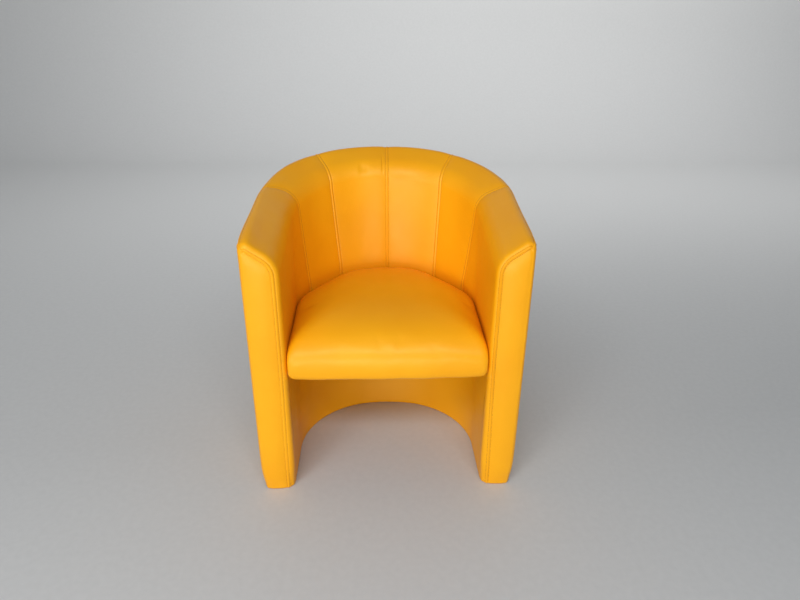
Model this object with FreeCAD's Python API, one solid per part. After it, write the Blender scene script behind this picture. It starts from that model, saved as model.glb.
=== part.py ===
import FreeCAD, Part
import math
import os

# Upholstered tub chair, millimetres, +Z up, the sitter faces -Y.
# The wall is a U seen from above. Places in it are given by a station along the U,
# by d, the depth into the wall from its outer skin, and by z, the height.
# While it is built the front plane is at y = 0. At the end the whole chair moves
# so that its origin is the middle of its footprint box, on the floor.

V = FreeCAD.Vector

# Overall sizes
WIDTH = 650.0
FLOOR_DEPTH = 463.0
BACK_LEAN = 8.0
RIM_FRONT = 668.0
RIM_BACK = 772.0
CORNER_SPREAD = 22.0
BACK_FLATTER = 153.0
WALL = 82.0

# Rim roll, seen in a cut through the wall
RIM_FALL = 34.0
RIM_OUTER_RADIUS = 14.0
RIM_INNER_RADIUS = 60.0

# Inside panels: seam angles from the side of the chair, and how far the padding swells
SEAM_ANGLES = (27.0, 57.0, 90.0, 123.0, 153.0)
SWELL = 4.0
SEAM_DRAW = 0.15
ARM_CUTS = 4
BEND_CUT_ANGLE = 8.0

# Cover, padding and boards
COVER = 1.5
WADDING = 4.2
OUTER_BOARD = 3.0
INNER_BOARD = 3.0
UPPER_FOAM = 25.0
SOFT_GAP = 0.3
FIT_GAP = 0.2

# Timber frame
BASE_RAIL = 18.0
SEAT_RAIL = 30.0
TOP_RAIL = 18.0
POST = 18.0
RIM_FOAM = 38.0
STUD_WIDTH = 30.0
STUD_ANGLES = (15.0, 42.0, 73.5, 106.5, 138.0, 165.0)
STUD_AFTER_BLOCK = 24.2
BLOCK_HEIGHT = 45.0
BLOCK_DEPTH = 22.0

# Arm fronts
FACING_DEPTH = 18.0
FACING_ROUND = 12.5

# Seat unit
SEAT_GAP = 0.5
SEAT_UNDERSIDE = 334.0
SEAT_FRAME = 20.0
SEAT_FRAME_WIDTH = 54.0
SEAT_FRAME_INSET = 18.0
SEAT_HEM = 34.0
SEAT_FORWARD = 9.0
SEAT_FRONT_CORNER = 10.0
SEAT_FRONT_BOW = 5.0
SEAT_CLOTH = 0.6
STRAP_WIDTH = 50.0
STRAP_THICKNESS = 1.2
STRAPS_ALONG = 4
STRAPS_ALONG_PITCH = 78.0
STRAPS_ACROSS = 3
STRAPS_ACROSS_PITCH = 96.0
STRAP_END = 18.0

# Cleats that carry the seat, and the bolts through them
CLEAT_WIDTH = 60.0
CLEAT_HEIGHT = 28.0
CLEAT_LENGTH = 94.0
CLEAT_FROM_FRONT = 64.0
CLEAT_BACK_ANGLE = 16.0
BOLT_EDGE = 18.0
BOLT_BACK_SPREAD = 104.0
BOLT_DIAMETER = 8.0
BOLT_HEAD = 13.0
BOLT_HEAD_HEIGHT = 5.3
WASHER_DIAMETER = 22.0
WASHER_THICKNESS = 1.8
TNUT_FLANGE = 20.0
TNUT_FLANGE_THICKNESS = 1.6
TNUT_BARREL = 10.0
TNUT_DEPTH = 12.0
HOLE_GAP = 0.25

# Screws
SCREW_DIAMETER = 5.0
SCREW_HEAD = 9.5
SCREW_HEAD_HEIGHT = 3.0
CLEAT_SCREW_LENGTH = 100.0
CLEAT_SCREW_EDGE = 15.0
CLEAT_SCREW_ANGLE = 4.0
CLEAT_SCREW_BEND_GAP = 12.0
POST_SCREW_LENGTH = 50.0
POST_SCREW_SHARES = (0.3, 0.7)
SCREW_SINK = 0.1

# Floor glides
GLIDE_DIAMETER = 25.0
GLIDE_HEIGHT = 4.8
GLIDE_ROUND = 1.6
GLIDE_NAIL_DIAMETER = 3.0
GLIDE_NAIL_LENGTH = 15.0
GLIDE_BACK_ANGLE = 62.0
GLIDE_BEFORE_BEND = 8.0
GLIDE_FRONT_FROM_FRONT = 27.0
BASE_CLOTH = 0.6

# Levels that follow from the sizes above
LEAN = math.tan(math.radians(BACK_LEAN))
HALF = WIDTH / 2.0
CORNER_RADIUS = HALF - CORNER_SPREAD
BACK_RADIUS = CORNER_RADIUS + BACK_FLATTER
CENTRE_RISE = math.sqrt(BACK_FLATTER ** 2 - CORNER_SPREAD ** 2)
BACK_CENTRE_Y = FLOOR_DEPTH - BACK_RADIUS
ARM_END = BACK_CENTRE_Y + CENTRE_RISE
CORNER_SWEEP = math.degrees(math.atan2(CENTRE_RISE, CORNER_SPREAD))
RIM_SLOPE = (RIM_BACK - RIM_FRONT) / (FLOOR_DEPTH + LEAN * RIM_BACK)

BOARD_OUTER_FACE = COVER + SOFT_GAP + WADDING + SOFT_GAP
BOARD_INNER_FACE = BOARD_OUTER_FACE + OUTER_BOARD
LOWER_BOARD_BACK = WALL - COVER - SOFT_GAP - INNER_BOARD
UPPER_BOARD_FACE = WALL - COVER - SOFT_GAP - UPPER_FOAM - FIT_GAP
UPPER_BOARD_BACK = UPPER_BOARD_FACE - INNER_BOARD
FRAME_OUTER = BOARD_INNER_FACE + FIT_GAP

CLOTH_BOTTOM = GLIDE_HEIGHT + FIT_GAP
COVER_BOTTOM = CLOTH_BOTTOM
BASE_BOTTOM = CLOTH_BOTTOM + BASE_CLOTH + FIT_GAP
BASE_TOP = BASE_BOTTOM + BASE_RAIL
SEAT_RAIL_TOP = SEAT_UNDERSIDE - SEAT_CLOTH - 2 * FIT_GAP
SEAT_RAIL_BOTTOM = SEAT_RAIL_TOP - SEAT_RAIL
PANEL_BOTTOM = SEAT_RAIL_TOP + FIT_GAP
POST_BACK = FACING_DEPTH + SOFT_GAP + POST
FRAME_FRONT = POST_BACK + FIT_GAP
SKIN_FRONT = FACING_DEPTH + SOFT_GAP

SEAT_EDGE = WALL + SWELL + SEAT_GAP
SEAT_FRAME_BOTTOM = SEAT_UNDERSIDE + COVER + FIT_GAP
SEAT_FRAME_TOP = SEAT_FRAME_BOTTOM + SEAT_FRAME
STRAPS_TOP = SEAT_FRAME_TOP + 2 * STRAP_THICKNESS
FAR = 2000.0


# Stations along the U

class Station:
    """A place on the wall: its foot on the outer skin, the way out, and the lean there."""

    def __init__(self, x, y, out_x, out_y, lean):
        self.x = x
        self.y = y
        self.out_x = out_x
        self.out_y = out_y
        self.lean = lean

    def at(self, d, z):
        return V(self.x - d * self.out_x, self.y - d * self.out_y + self.lean * z, z)

    def level(self, drop, d=0.0):
        """Height at depth d of the sloped rim plane lowered by drop."""
        height = RIM_FRONT - drop + RIM_SLOPE * (self.y - d * self.out_y)
        return height / (1.0 - RIM_SLOPE * self.lean)


def arm_station(side, y):
    """On a straight arm. The cut is upright at the front and leans as the back does at the bend."""
    lean = LEAN * (y - SKIN_FRONT) / (ARM_END - SKIN_FRONT)
    return Station(side * HALF, y, side, 0.0, max(lean, 0.0))


def bend_station(angle):
    """On the bend: 0 is the left side, 90 the middle of the back, 180 the right side."""
    out_x = -math.cos(math.radians(angle))
    out_y = math.sin(math.radians(angle))
    centre_x = 0.0
    centre_y = BACK_CENTRE_Y
    radius = BACK_RADIUS
    if angle < CORNER_SWEEP or angle > 180.0 - CORNER_SWEEP:
        centre_x = math.copysign(CORNER_SPREAD, out_x)
        centre_y = ARM_END
        radius = CORNER_RADIUS
    return Station(centre_x + radius * out_x, centre_y + radius * out_y, out_x, out_y, LEAN)


def wall_station(side, y, z, clearance=0.0):
    """The place on the wall that lies y behind the front plane at height z, on the arm or round the bend.

    A place nearer than clearance to the start of the bend moves ahead of it by that much.
    """
    beyond = y - LEAN * z - ARM_END
    if abs(beyond) < clearance:
        beyond = -clearance
    if beyond <= 0.0:
        return Station(side * HALF, ARM_END + LEAN * z + beyond, side, 0.0, 0.0)
    angle = math.degrees(beyond / CORNER_RADIUS)
    return bend_station(angle if side < 0 else 180.0 - angle)


# Hard layers: a U-shaped ring pushed up along the lean

def line(a, b):
    return Part.LineSegment(a, b).toShape()


def arc(a, b, c):
    return Part.Arc(a, b, c).toShape()


def u_edges(d, front, z):
    """The U at depth d and height z, from the left arm front round to the right one."""
    shift = LEAN * z
    foot = []
    for angle in (0.0, CORNER_SWEEP / 2.0, CORNER_SWEEP, 90.0):
        point = bend_station(angle).at(d, 0.0)
        foot.append(V(point.x, point.y + shift, z))
    mirror = [V(-point.x, point.y, point.z) for point in foot]
    left_front = V(foot[0].x, front, z)
    right_front = V(mirror[0].x, front, z)
    return [
        line(left_front, foot[0]),
        arc(foot[0], foot[1], foot[2]),
        arc(foot[2], foot[3], mirror[2]),
        arc(mirror[2], mirror[1], mirror[0]),
        line(mirror[0], right_front),
    ]


def above(drop):
    """Everything over the sloped rim plane lowered by drop."""
    low = RIM_FRONT - drop - RIM_SLOPE * FAR
    high = RIM_FRONT - drop + RIM_SLOPE * FAR
    corners = [V(-FAR, -FAR, low), V(-FAR, FAR, high), V(-FAR, FAR, 2 * FAR), V(-FAR, -FAR, 2 * FAR)]
    face = Part.Face(Part.makePolygon(corners + corners[:1]))
    return face.extrude(V(2 * FAR, 0, 0))


def before(y):
    """Everything in front of the upright plane at y."""
    return Part.makeBox(2 * FAR, FAR, 4 * FAR, V(-FAR, y - FAR, -FAR))


def wall_ring(d_outer, d_inner, z_low, z_high, front):
    """A leaning U-shaped layer between two depths, with its arm ends upright at front."""
    start = front - LEAN * (z_high - z_low) - 1.0
    outer = u_edges(d_outer, start, z_low)
    inner = u_edges(d_inner, start, z_low)
    ends = [
        line(V(HALF - d_outer, start, z_low), V(HALF - d_inner, start, z_low)),
        line(V(d_inner - HALF, start, z_low), V(d_outer - HALF, start, z_low)),
    ]
    wire = Part.Wire(Part.__sortEdges__(outer + inner + ends))
    height = z_high - z_low
    return Part.Face(wire).extrude(V(0, LEAN * height, height)).cut(before(front))


def wall_block(station, d_outer, d_inner, width, z_low, z_high):
    """A leaning block across the wall, width wide along it."""
    along = V(station.out_y, -station.out_x, 0).multiply(width / 2.0)
    near = station.at(d_outer, z_low)
    deep = station.at(d_inner, z_low)
    corners = [near.add(along), near.sub(along), deep.sub(along), deep.add(along)]
    height = z_high - z_low
    face = Part.Face(Part.makePolygon(corners + corners[:1]))
    return face.extrude(V(0, station.lean * height, height))


# Soft layers: lofts through cuts across the wall

class RimCut:
    """The rim roll in one cut: outer side, sloped top and inner side, each drawn in by inset."""

    def __init__(self, station, inset, swell=0.0, least_radius=3.0):
        self.station = station
        fall = math.radians(RIM_FALL)
        top = station.level(0.0)
        radius_1 = max(RIM_OUTER_RADIUS - inset, least_radius)
        radius_2 = max(RIM_INNER_RADIUS - inset, least_radius)
        self.outer = inset
        self.inner = WALL + swell - inset
        nominal = RIM_OUTER_RADIUS * (1.0 + math.sin(fall)) + (top - RIM_OUTER_RADIUS) * math.cos(fall)
        reach = nominal + swell * math.cos(fall) - inset
        x1 = self.outer + radius_1
        x2 = self.inner - radius_2
        self.z1 = (reach - radius_1 - math.sin(fall) * x1) / math.cos(fall)
        self.z2 = (reach - radius_2 - math.sin(fall) * x2) / math.cos(fall)
        half_1 = (math.pi + math.pi / 2.0 - fall) / 2.0
        half_2 = (math.pi / 2.0 - fall) / 2.0
        self.points = [
            self.spot(x1, self.z1, radius_1, math.pi),
            self.spot(x1, self.z1, radius_1, half_1),
            self.spot(x1, self.z1, radius_1, math.pi / 2.0 - fall),
            self.spot(x2, self.z2, radius_2, math.pi / 2.0 - fall),
            self.spot(x2, self.z2, radius_2, half_2),
            self.spot(x2, self.z2, radius_2, 0.0),
        ]

    def spot(self, x, z, radius, turn):
        return self.station.at(x + radius * math.cos(turn), z + radius * math.sin(turn))

    def edges(self, outer_low, inner_low):
        """From the outer side at outer_low, over the rim, to the inner side at inner_low."""
        p = self.points
        first = self.station.at(self.outer, outer_low)
        last = self.station.at(self.inner, inner_low)
        outer = [line(first, p[0]), arc(p[0], p[1], p[2])]
        inner = [line(p[2], p[3]), arc(p[3], p[4], p[5]), line(p[5], last)]
        return outer + inner


def skin_wire(station, swell, thickness):
    """The cut of a cover over the rim and down the inner side."""
    low = station.level(RIM_OUTER_RADIUS)
    face = RimCut(station, 0.0, swell)
    back = RimCut(station, thickness, swell)
    ends = [
        line(station.at(face.outer, low), station.at(back.outer, low)),
        line(station.at(face.inner, PANEL_BOTTOM), station.at(back.inner, PANEL_BOTTOM)),
    ]
    return Part.Wire(Part.__sortEdges__(face.edges(low, PANEL_BOTTOM) + back.edges(low, PANEL_BOTTOM) + ends))


def pad_wire(station, swell):
    """The cut of the foam: over the frame top and down the inner board."""
    inset = COVER + SOFT_GAP
    face = RimCut(station, inset, swell)
    outer_low = station.level(RIM_FOAM - FIT_GAP, inset)
    step = station.level(RIM_FOAM - FIT_GAP, UPPER_BOARD_FACE + FIT_GAP)
    behind = UPPER_BOARD_FACE + FIT_GAP
    base = [
        line(station.at(face.inner, PANEL_BOTTOM), station.at(behind, PANEL_BOTTOM)),
        line(station.at(behind, PANEL_BOTTOM), station.at(behind, step)),
        line(station.at(behind, step), station.at(inset, outer_low)),
    ]
    return Part.Wire(Part.__sortEdges__(face.edges(outer_low, PANEL_BOTTOM) + base))


def swell_at(share):
    """How far the padding swells at a share of a panel's length: drawn in at both seams."""
    crown = 1.0 - (2.0 * share - 1.0) ** 4
    return SWELL * (SEAM_DRAW + (1.0 - SEAM_DRAW) * crown)


def loft(wires):
    return Part.makeLoft(wires, True, False, False, 3)


def bend_part(first, last, whole_first, whole_last, wire_maker):
    """A loft round the bend between two angles. The panel runs from whole_first to whole_last in length."""
    steps = max(2, int(math.ceil((last - first) / BEND_CUT_ANGLE)))
    wires = []
    for step in range(steps + 1):
        angle = first + (last - first) * step / steps
        length = CORNER_RADIUS * math.radians(angle)
        share = (length - whole_first) / (whole_last - whole_first)
        wires.append(wire_maker(bend_station(angle), swell_at(min(max(share, 0.0), 1.0))))
    return loft(wires)


def arm_part(side, panel_length, wire_maker):
    """A loft along a straight arm, from the facing back to the bend."""
    wires = []
    for step in range(ARM_CUTS + 1):
        y = SKIN_FRONT + (ARM_END - SKIN_FRONT) * step / ARM_CUTS
        share = (y - SKIN_FRONT) / panel_length
        wires.append(wire_maker(arm_station(side, y), swell_at(share)))
    return loft(wires)


def panel_solids(wire_maker):
    """The six panels of one soft layer, from the left arm round to the right one."""
    arm_length = ARM_END - SKIN_FRONT
    first = SEAM_ANGLES[0]
    front_panel = arm_length + CORNER_RADIUS * math.radians(first)
    left = arm_part(-1, front_panel, wire_maker).fuse(
        bend_part(0.0, first, -arm_length, front_panel - arm_length, wire_maker))
    solids = [left]
    for low, high in zip(SEAM_ANGLES[:-1], SEAM_ANGLES[1:]):
        ends = (CORNER_RADIUS * math.radians(low), CORNER_RADIUS * math.radians(high))
        solids.append(bend_part(low, high, ends[0], ends[1], wire_maker))
    solids.append(left.mirror(V(0, 0, 0), V(1, 0, 0)))
    return solids


# Arm fronts

def front_outline(inset, side, y, bottom):
    """The outline of the arm's end, drawn in all round by inset."""
    station = Station(side * HALF, y, side, 0.0, 0.0)
    flat = Station(side * HALF, 0.0, side, 0.0, 0.0)
    cut = RimCut(flat, inset)
    shift = V(0, y, 0)
    edges = []
    for edge in cut.edges(bottom + inset, bottom + inset):
        edges.append(edge.translated(shift))
    edges.append(line(station.at(cut.inner, bottom + inset), station.at(cut.outer, bottom + inset)))
    return Part.Wire(Part.__sortEdges__(edges))


def facing_form(skin, side):
    """The rounded pad on an arm's front, skin deep inside its cover's face."""
    block = Part.Face(front_outline(skin, side, skin, COVER_BOTTOM)).extrude(V(0, FACING_DEPTH - skin, 0))
    front_edges = [edge for edge in block.Edges if edge.BoundBox.YMax < skin + 0.01]
    return block.makeFillet(FACING_ROUND - skin, front_edges)


# Seat forms: level, height at the front and back, inset at the sides and front, and slope of the skin
SEAT_LEVELS = (
    (0.0, 0.0, 9.0, 15.0, -60.0),
    (11.0, 12.0, 1.5, 5.0, -25.0),
    (34.0, 56.0, 0.0, 0.0, 0.0),
    (58.0, 96.0, 1.5, 2.0, 12.0),
    (86.0, 113.0, 12.0, 13.0, 38.0),
    (106.0, 122.0, 34.0, 34.0, 62.0),
    (119.0, 128.0, 72.0, 78.0, 78.0),
    (125.0, 131.0, 124.0, 138.0, 86.0),
)


def seat_outline(side_inset, front_inset, z_front, z_back):
    """The D shape of the seat on a plane from z_front up to z_back. Its front bulges past the arms' fronts."""
    d = SEAT_EDGE + side_inset
    half = HALF - d
    slope = (z_back - z_front) / (FLOOR_DEPTH - d + LEAN * z_back)
    corner = SEAT_FRONT_CORNER + 0.3 * side_inset
    front = front_inset - SEAT_FORWARD
    start = front + SEAT_FRONT_BOW

    def place(x, y, leaning):
        if leaning:
            y = (y + LEAN * z_front) / (1.0 - LEAN * slope)
        return V(x, y, z_front + slope * y)

    foot = []
    for angle in (0.0, CORNER_SWEEP / 2.0, CORNER_SWEEP, 90.0):
        point = bend_station(angle).at(d, 0.0)
        foot.append(place(point.x, point.y, True))
    far_side = [V(-point.x, point.y, point.z) for point in foot]
    slant = (1.0 - math.cos(math.pi / 4.0)) * corner
    left = [place(-half, start + corner, False), place(-half + slant, start + slant, False),
            place(-half + corner, start, False)]
    right = [V(-point.x, point.y, point.z) for point in left]
    middle = place(0.0, front, False)
    return left, right, middle, foot, far_side


def seat_wire(side_inset, front_inset, z_front, z_back):
    left, right, middle, foot, far_side = seat_outline(side_inset, front_inset, z_front, z_back)
    edges = [
        line(left[0], foot[0]),
        arc(foot[0], foot[1], foot[2]),
        arc(foot[2], foot[3], far_side[2]),
        arc(far_side[2], far_side[1], far_side[0]),
        line(far_side[0], right[0]),
        arc(right[0], right[1], right[2]),
        arc(right[2], middle, left[2]),
        arc(left[2], left[1], left[0]),
    ]
    return Part.Wire(edges)


def seat_form(skin):
    """The crowned seat, skin deep inside its cover's face."""
    wires = []
    for front, back, side_inset, front_inset, slope in SEAT_LEVELS:
        out = skin * math.cos(math.radians(slope))
        up = skin * math.sin(math.radians(slope))
        z_front = SEAT_UNDERSIDE + front - up
        z_back = SEAT_UNDERSIDE + back - up
        wires.append(seat_wire(side_inset + out, front_inset + out, z_front, z_back))
    return loft(wires)


def seat_plate(inset, z_low, z_high):
    """A flat D-shaped plate inset all round from the seat's edge."""
    face = Part.Face(seat_wire(inset, inset, SEAT_UNDERSIDE, SEAT_UNDERSIDE))
    return face.translated(V(0, 0, z_low - SEAT_UNDERSIDE)).extrude(V(0, 0, z_high - z_low))


# Small parts

def rod(x, y, z, diameter, length, direction=V(0, 0, 1)):
    return Part.makeCylinder(diameter / 2.0, length, V(x, y, z), direction)


def wood_screw(tip_side, direction, length, extra=0.0):
    """A countersunk screw whose head lies at tip_side and whose shank runs along direction."""
    shank = Part.makeCylinder(SCREW_DIAMETER / 2.0 + extra, length, tip_side, direction)
    wide = SCREW_HEAD / 2.0 + extra
    narrow = SCREW_DIAMETER / 2.0 + extra
    head = Part.makeCone(wide, narrow, SCREW_HEAD_HEIGHT, tip_side, direction)
    return shank.fuse(head)


def drill(shape, tools):
    for tool in tools:
        shape = shape.cut(tool)
    return shape


nodes = {}

# Timber frame: three U-shaped rails, two front posts, studs and corner blocks
base_rail = wall_ring(FRAME_OUTER, LOWER_BOARD_BACK - FIT_GAP, BASE_BOTTOM, BASE_TOP, FRAME_FRONT)
seat_rail = wall_ring(FRAME_OUTER, LOWER_BOARD_BACK - FIT_GAP, SEAT_RAIL_BOTTOM, SEAT_RAIL_TOP, FRAME_FRONT)
top_rail = wall_ring(FRAME_OUTER, UPPER_BOARD_BACK - FIT_GAP, SEAT_RAIL_TOP, RIM_BACK, FRAME_FRONT)
top_rail = top_rail.cut(above(RIM_FOAM)).common(above(RIM_FOAM + TOP_RAIL))


def front_post(side):
    post = Part.Face(front_outline(BOARD_OUTER_FACE, side, SKIN_FRONT, BASE_BOTTOM - BOARD_OUTER_FACE))
    return post.extrude(V(0, POST, 0))


front_post_left = front_post(-1)
front_post_right = front_post(1)

stud_outer = FRAME_OUTER + STUD_WIDTH ** 2 / (8.0 * CORNER_RADIUS) + FIT_GAP
arm_stud_y = POST_BACK + BLOCK_DEPTH + STUD_AFTER_BLOCK + STUD_WIDTH / 2.0
stud_stations = [wall_station(-1, arm_stud_y, 0.0)]
stud_stations += [bend_station(angle) for angle in STUD_ANGLES]
stud_stations += [wall_station(1, arm_stud_y, 0.0)]
lower_studs = []
upper_studs = []
for station in stud_stations:
    lower_inner = LOWER_BOARD_BACK - FIT_GAP
    upper_inner = UPPER_BOARD_BACK - FIT_GAP
    lower_studs.append(wall_block(station, stud_outer, lower_inner, STUD_WIDTH, BASE_TOP, SEAT_RAIL_BOTTOM))
    tall = wall_block(station, stud_outer, upper_inner, STUD_WIDTH, SEAT_RAIL_TOP, RIM_BACK)
    upper_studs.append(tall.cut(above(RIM_FOAM + TOP_RAIL)))

corner_blocks = []
for side in (-1, 1):
    middle = side * (HALF - (FRAME_OUTER + LOWER_BOARD_BACK) / 2.0)
    for z in (BASE_TOP, SEAT_RAIL_BOTTOM - BLOCK_HEIGHT):
        corner = V(middle - BLOCK_DEPTH, POST_BACK, z)
        corner_blocks.append(Part.makeBox(2 * BLOCK_DEPTH, BLOCK_DEPTH, BLOCK_HEIGHT, corner))

# Boards that close the wall
outer_board = wall_ring(BOARD_OUTER_FACE, BOARD_INNER_FACE, BASE_BOTTOM, RIM_BACK, FRAME_FRONT)
outer_board = outer_board.cut(above(RIM_FOAM))
inner_board = wall_ring(UPPER_BOARD_BACK, UPPER_BOARD_FACE, SEAT_RAIL_TOP, RIM_BACK, FRAME_FRONT)
inner_board = inner_board.cut(above(RIM_FOAM))
lower_board_face = LOWER_BOARD_BACK + INNER_BOARD
lower_board = wall_ring(LOWER_BOARD_BACK, lower_board_face, BASE_BOTTOM, SEAT_RAIL_TOP, FRAME_FRONT)

# Outside padding and its three cover panels, sewn where the outermost inside seams are
wadding_face = COVER + SOFT_GAP
outer_wadding = wall_ring(wadding_face, wadding_face + WADDING, BASE_BOTTOM, RIM_BACK, SKIN_FRONT)
outer_wadding = outer_wadding.cut(above(RIM_FOAM))
outside = wall_ring(0.0, COVER, COVER_BOTTOM, RIM_BACK, SKIN_FRONT).cut(above(RIM_OUTER_RADIUS + FIT_GAP))


def arm_side_of_seam(angle):
    """Everything on the left arm's side of the leaning cut through a seam on the left."""
    station = bend_station(angle)
    a = station.at(-WALL, 0.0)
    b = station.at(WALL, 0.0)
    corners = [a, b, V(b.x, -FAR, 0), V(-FAR, -FAR, 0), V(-FAR, a.y, 0)]
    face = Part.Face(Part.makePolygon(corners + corners[:1]))
    return face.extrude(V(0, LEAN * FAR, FAR))


outside_left = outside.common(arm_side_of_seam(SEAM_ANGLES[0]))
outside_right = outside_left.mirror(V(0, 0, 0), V(1, 0, 0))
outside_back = outside.cut(outside_left).cut(outside_right)

# Inside padding and panels, and the plain lining under the seat
pads = panel_solids(pad_wire)
panels = panel_solids(lambda station, swell: skin_wire(station, swell, COVER))


def post_room(side):
    room = Part.Face(front_outline(BOARD_OUTER_FACE - FIT_GAP, side, 0.0, 0.0))
    return room.extrude(V(0, FRAME_FRONT, 0))


pads[0] = pads[0].cut(post_room(-1))
pads[-1] = pads[-1].cut(post_room(1))
lower_lining = wall_ring(WALL - COVER, WALL, COVER_BOTTOM, SEAT_RAIL_TOP, SKIN_FRONT)
cloth_edge = COVER + SOFT_GAP
base_cloth = wall_ring(cloth_edge, WALL - cloth_edge, CLOTH_BOTTOM, CLOTH_BOTTOM + BASE_CLOTH, SKIN_FRONT)

# Arm fronts
facing_foams = {}
facing_covers = {}
for side, name in ((-1, "left"), (1, "right")):
    facing_foams[name] = facing_form(COVER + SOFT_GAP, side)
    facing_covers[name] = facing_form(0.0, side).cut(facing_form(COVER, side))

# Seat unit
seat_whole = seat_form(0.0)
hem_hole = seat_plate(SEAT_FRAME_INSET + SEAT_HEM, SEAT_UNDERSIDE - 1.0, SEAT_UNDERSIDE + 2 * COVER)
seat_cover = seat_whole.cut(seat_form(COVER)).cut(hem_hole)
foam_room = seat_plate(SEAT_FRAME_INSET - SOFT_GAP, SEAT_UNDERSIDE - 1.0, STRAPS_TOP + FIT_GAP)
seat_foam = seat_form(COVER + SOFT_GAP).cut(foam_room)
frame_hole = seat_plate(SEAT_FRAME_INSET + SEAT_FRAME_WIDTH, SEAT_FRAME_BOTTOM - 1.0, SEAT_FRAME_TOP + 1.0)
seat_frame = seat_plate(SEAT_FRAME_INSET, SEAT_FRAME_BOTTOM, SEAT_FRAME_TOP).cut(frame_hole)
seat_cloth_top = SEAT_UNDERSIDE - FIT_GAP
seat_cloth = seat_plate(SEAT_FRAME_INSET, seat_cloth_top - SEAT_CLOTH, seat_cloth_top)

strap_area = seat_plate(SEAT_FRAME_INSET + STRAP_END, SEAT_FRAME_TOP, STRAPS_TOP)
middle_y = seat_frame.BoundBox.Center.y
straps = []
for index in range(STRAPS_ALONG):
    x = (index - (STRAPS_ALONG - 1) / 2.0) * STRAPS_ALONG_PITCH
    strip = Part.makeBox(STRAP_WIDTH, FAR, STRAP_THICKNESS, V(x - STRAP_WIDTH / 2.0, 0, SEAT_FRAME_TOP))
    straps.append(strap_area.common(strip))
for index in range(STRAPS_ACROSS):
    y = middle_y + (index - (STRAPS_ACROSS - 1) / 2.0) * STRAPS_ACROSS_PITCH
    level = SEAT_FRAME_TOP + STRAP_THICKNESS
    strip = Part.makeBox(2 * FAR, STRAP_WIDTH, STRAP_THICKNESS, V(-FAR, y - STRAP_WIDTH / 2.0, level))
    straps.append(strap_area.common(strip))

# Cleats round the inside of the wall under the seat
cleat_back_face = WALL + FIT_GAP
cleat_face = cleat_back_face + CLEAT_WIDTH
cleat_bottom = SEAT_RAIL_TOP - CLEAT_HEIGHT
cleat_ring = wall_ring(cleat_back_face, cleat_face, cleat_bottom, SEAT_RAIL_TOP, CLEAT_FROM_FRONT)
arm_zone = Part.makeBox(FAR, CLEAT_FROM_FRONT + CLEAT_LENGTH, FAR, V(-FAR, 0, 0))
cleat_left = cleat_ring.common(arm_zone)
cleat_right = cleat_left.mirror(V(0, 0, 0), V(1, 0, 0))
back_reach = FAR * math.tan(math.radians(CLEAT_BACK_ANGLE))
back_corners = [
    V(0, BACK_CENTRE_Y, 0),
    V(-back_reach, BACK_CENTRE_Y + FAR, 0),
    V(back_reach, BACK_CENTRE_Y + FAR, 0),
]
back_zone = Part.Face(Part.makePolygon(back_corners + back_corners[:1])).extrude(V(0, 0, FAR))
cleat_back = cleat_ring.common(back_zone)

# Bolts up through the cleats into tee nuts in the seat frame
bolt_d = SEAT_EDGE + SEAT_FRAME_INSET + BOLT_EDGE
bolt_x = HALF - bolt_d
bolt_back_y = FLOOR_DEPTH + LEAN * SEAT_UNDERSIDE - bolt_d
bolt_front_y = CLEAT_FROM_FRONT + CLEAT_LENGTH / 2.0
bolt_back_x = BOLT_BACK_SPREAD / 2.0
bolt_places = [(-bolt_x, bolt_front_y), (bolt_x, bolt_front_y)]
bolt_places += [(-bolt_back_x, bolt_back_y), (bolt_back_x, bolt_back_y)]
bolts = []
washers = []
tee_nuts = []
bolt_holes = []
barrel_holes = []
for x, y in bolt_places:
    washer_bottom = cleat_bottom - WASHER_THICKNESS
    length = SEAT_FRAME_TOP - washer_bottom - TNUT_FLANGE_THICKNESS
    hexagon = Part.makePolygon([
        V(x + BOLT_HEAD / math.sqrt(3.0) * math.cos(math.radians(60.0 * corner)),
          y + BOLT_HEAD / math.sqrt(3.0) * math.sin(math.radians(60.0 * corner)),
          washer_bottom - BOLT_HEAD_HEIGHT) for corner in range(7)])
    head = Part.Face(hexagon).extrude(V(0, 0, BOLT_HEAD_HEIGHT))
    bolts.append(head.fuse(rod(x, y, washer_bottom, BOLT_DIAMETER, length)))
    washer = rod(x, y, washer_bottom, WASHER_DIAMETER, WASHER_THICKNESS)
    washers.append(washer.cut(rod(x, y, washer_bottom - 1.0, BOLT_DIAMETER + 2 * HOLE_GAP, FAR)))
    flange_bottom = SEAT_FRAME_TOP - TNUT_FLANGE_THICKNESS
    flange = rod(x, y, flange_bottom, TNUT_FLANGE, TNUT_FLANGE_THICKNESS)
    barrel = rod(x, y, SEAT_FRAME_TOP - TNUT_DEPTH, TNUT_BARREL, TNUT_DEPTH)
    bore = rod(x, y, SEAT_FRAME_TOP - TNUT_DEPTH - 1.0, BOLT_DIAMETER + 2 * HOLE_GAP, FAR)
    tee_nuts.append(flange.fuse(barrel).cut(bore))
    hole_length = SEAT_FRAME_TOP - cleat_bottom
    bolt_holes.append(rod(x, y, cleat_bottom - 1.0, BOLT_DIAMETER + 4 * HOLE_GAP, hole_length))
    barrel_holes.append(rod(x, y, SEAT_FRAME_BOTTOM - 1.0, TNUT_BARREL + 2 * HOLE_GAP, SEAT_FRAME + 2.0))
    barrel_holes.append(rod(x, y, flange_bottom, TNUT_FLANGE + 2 * HOLE_GAP, 2 * TNUT_FLANGE_THICKNESS))

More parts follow.
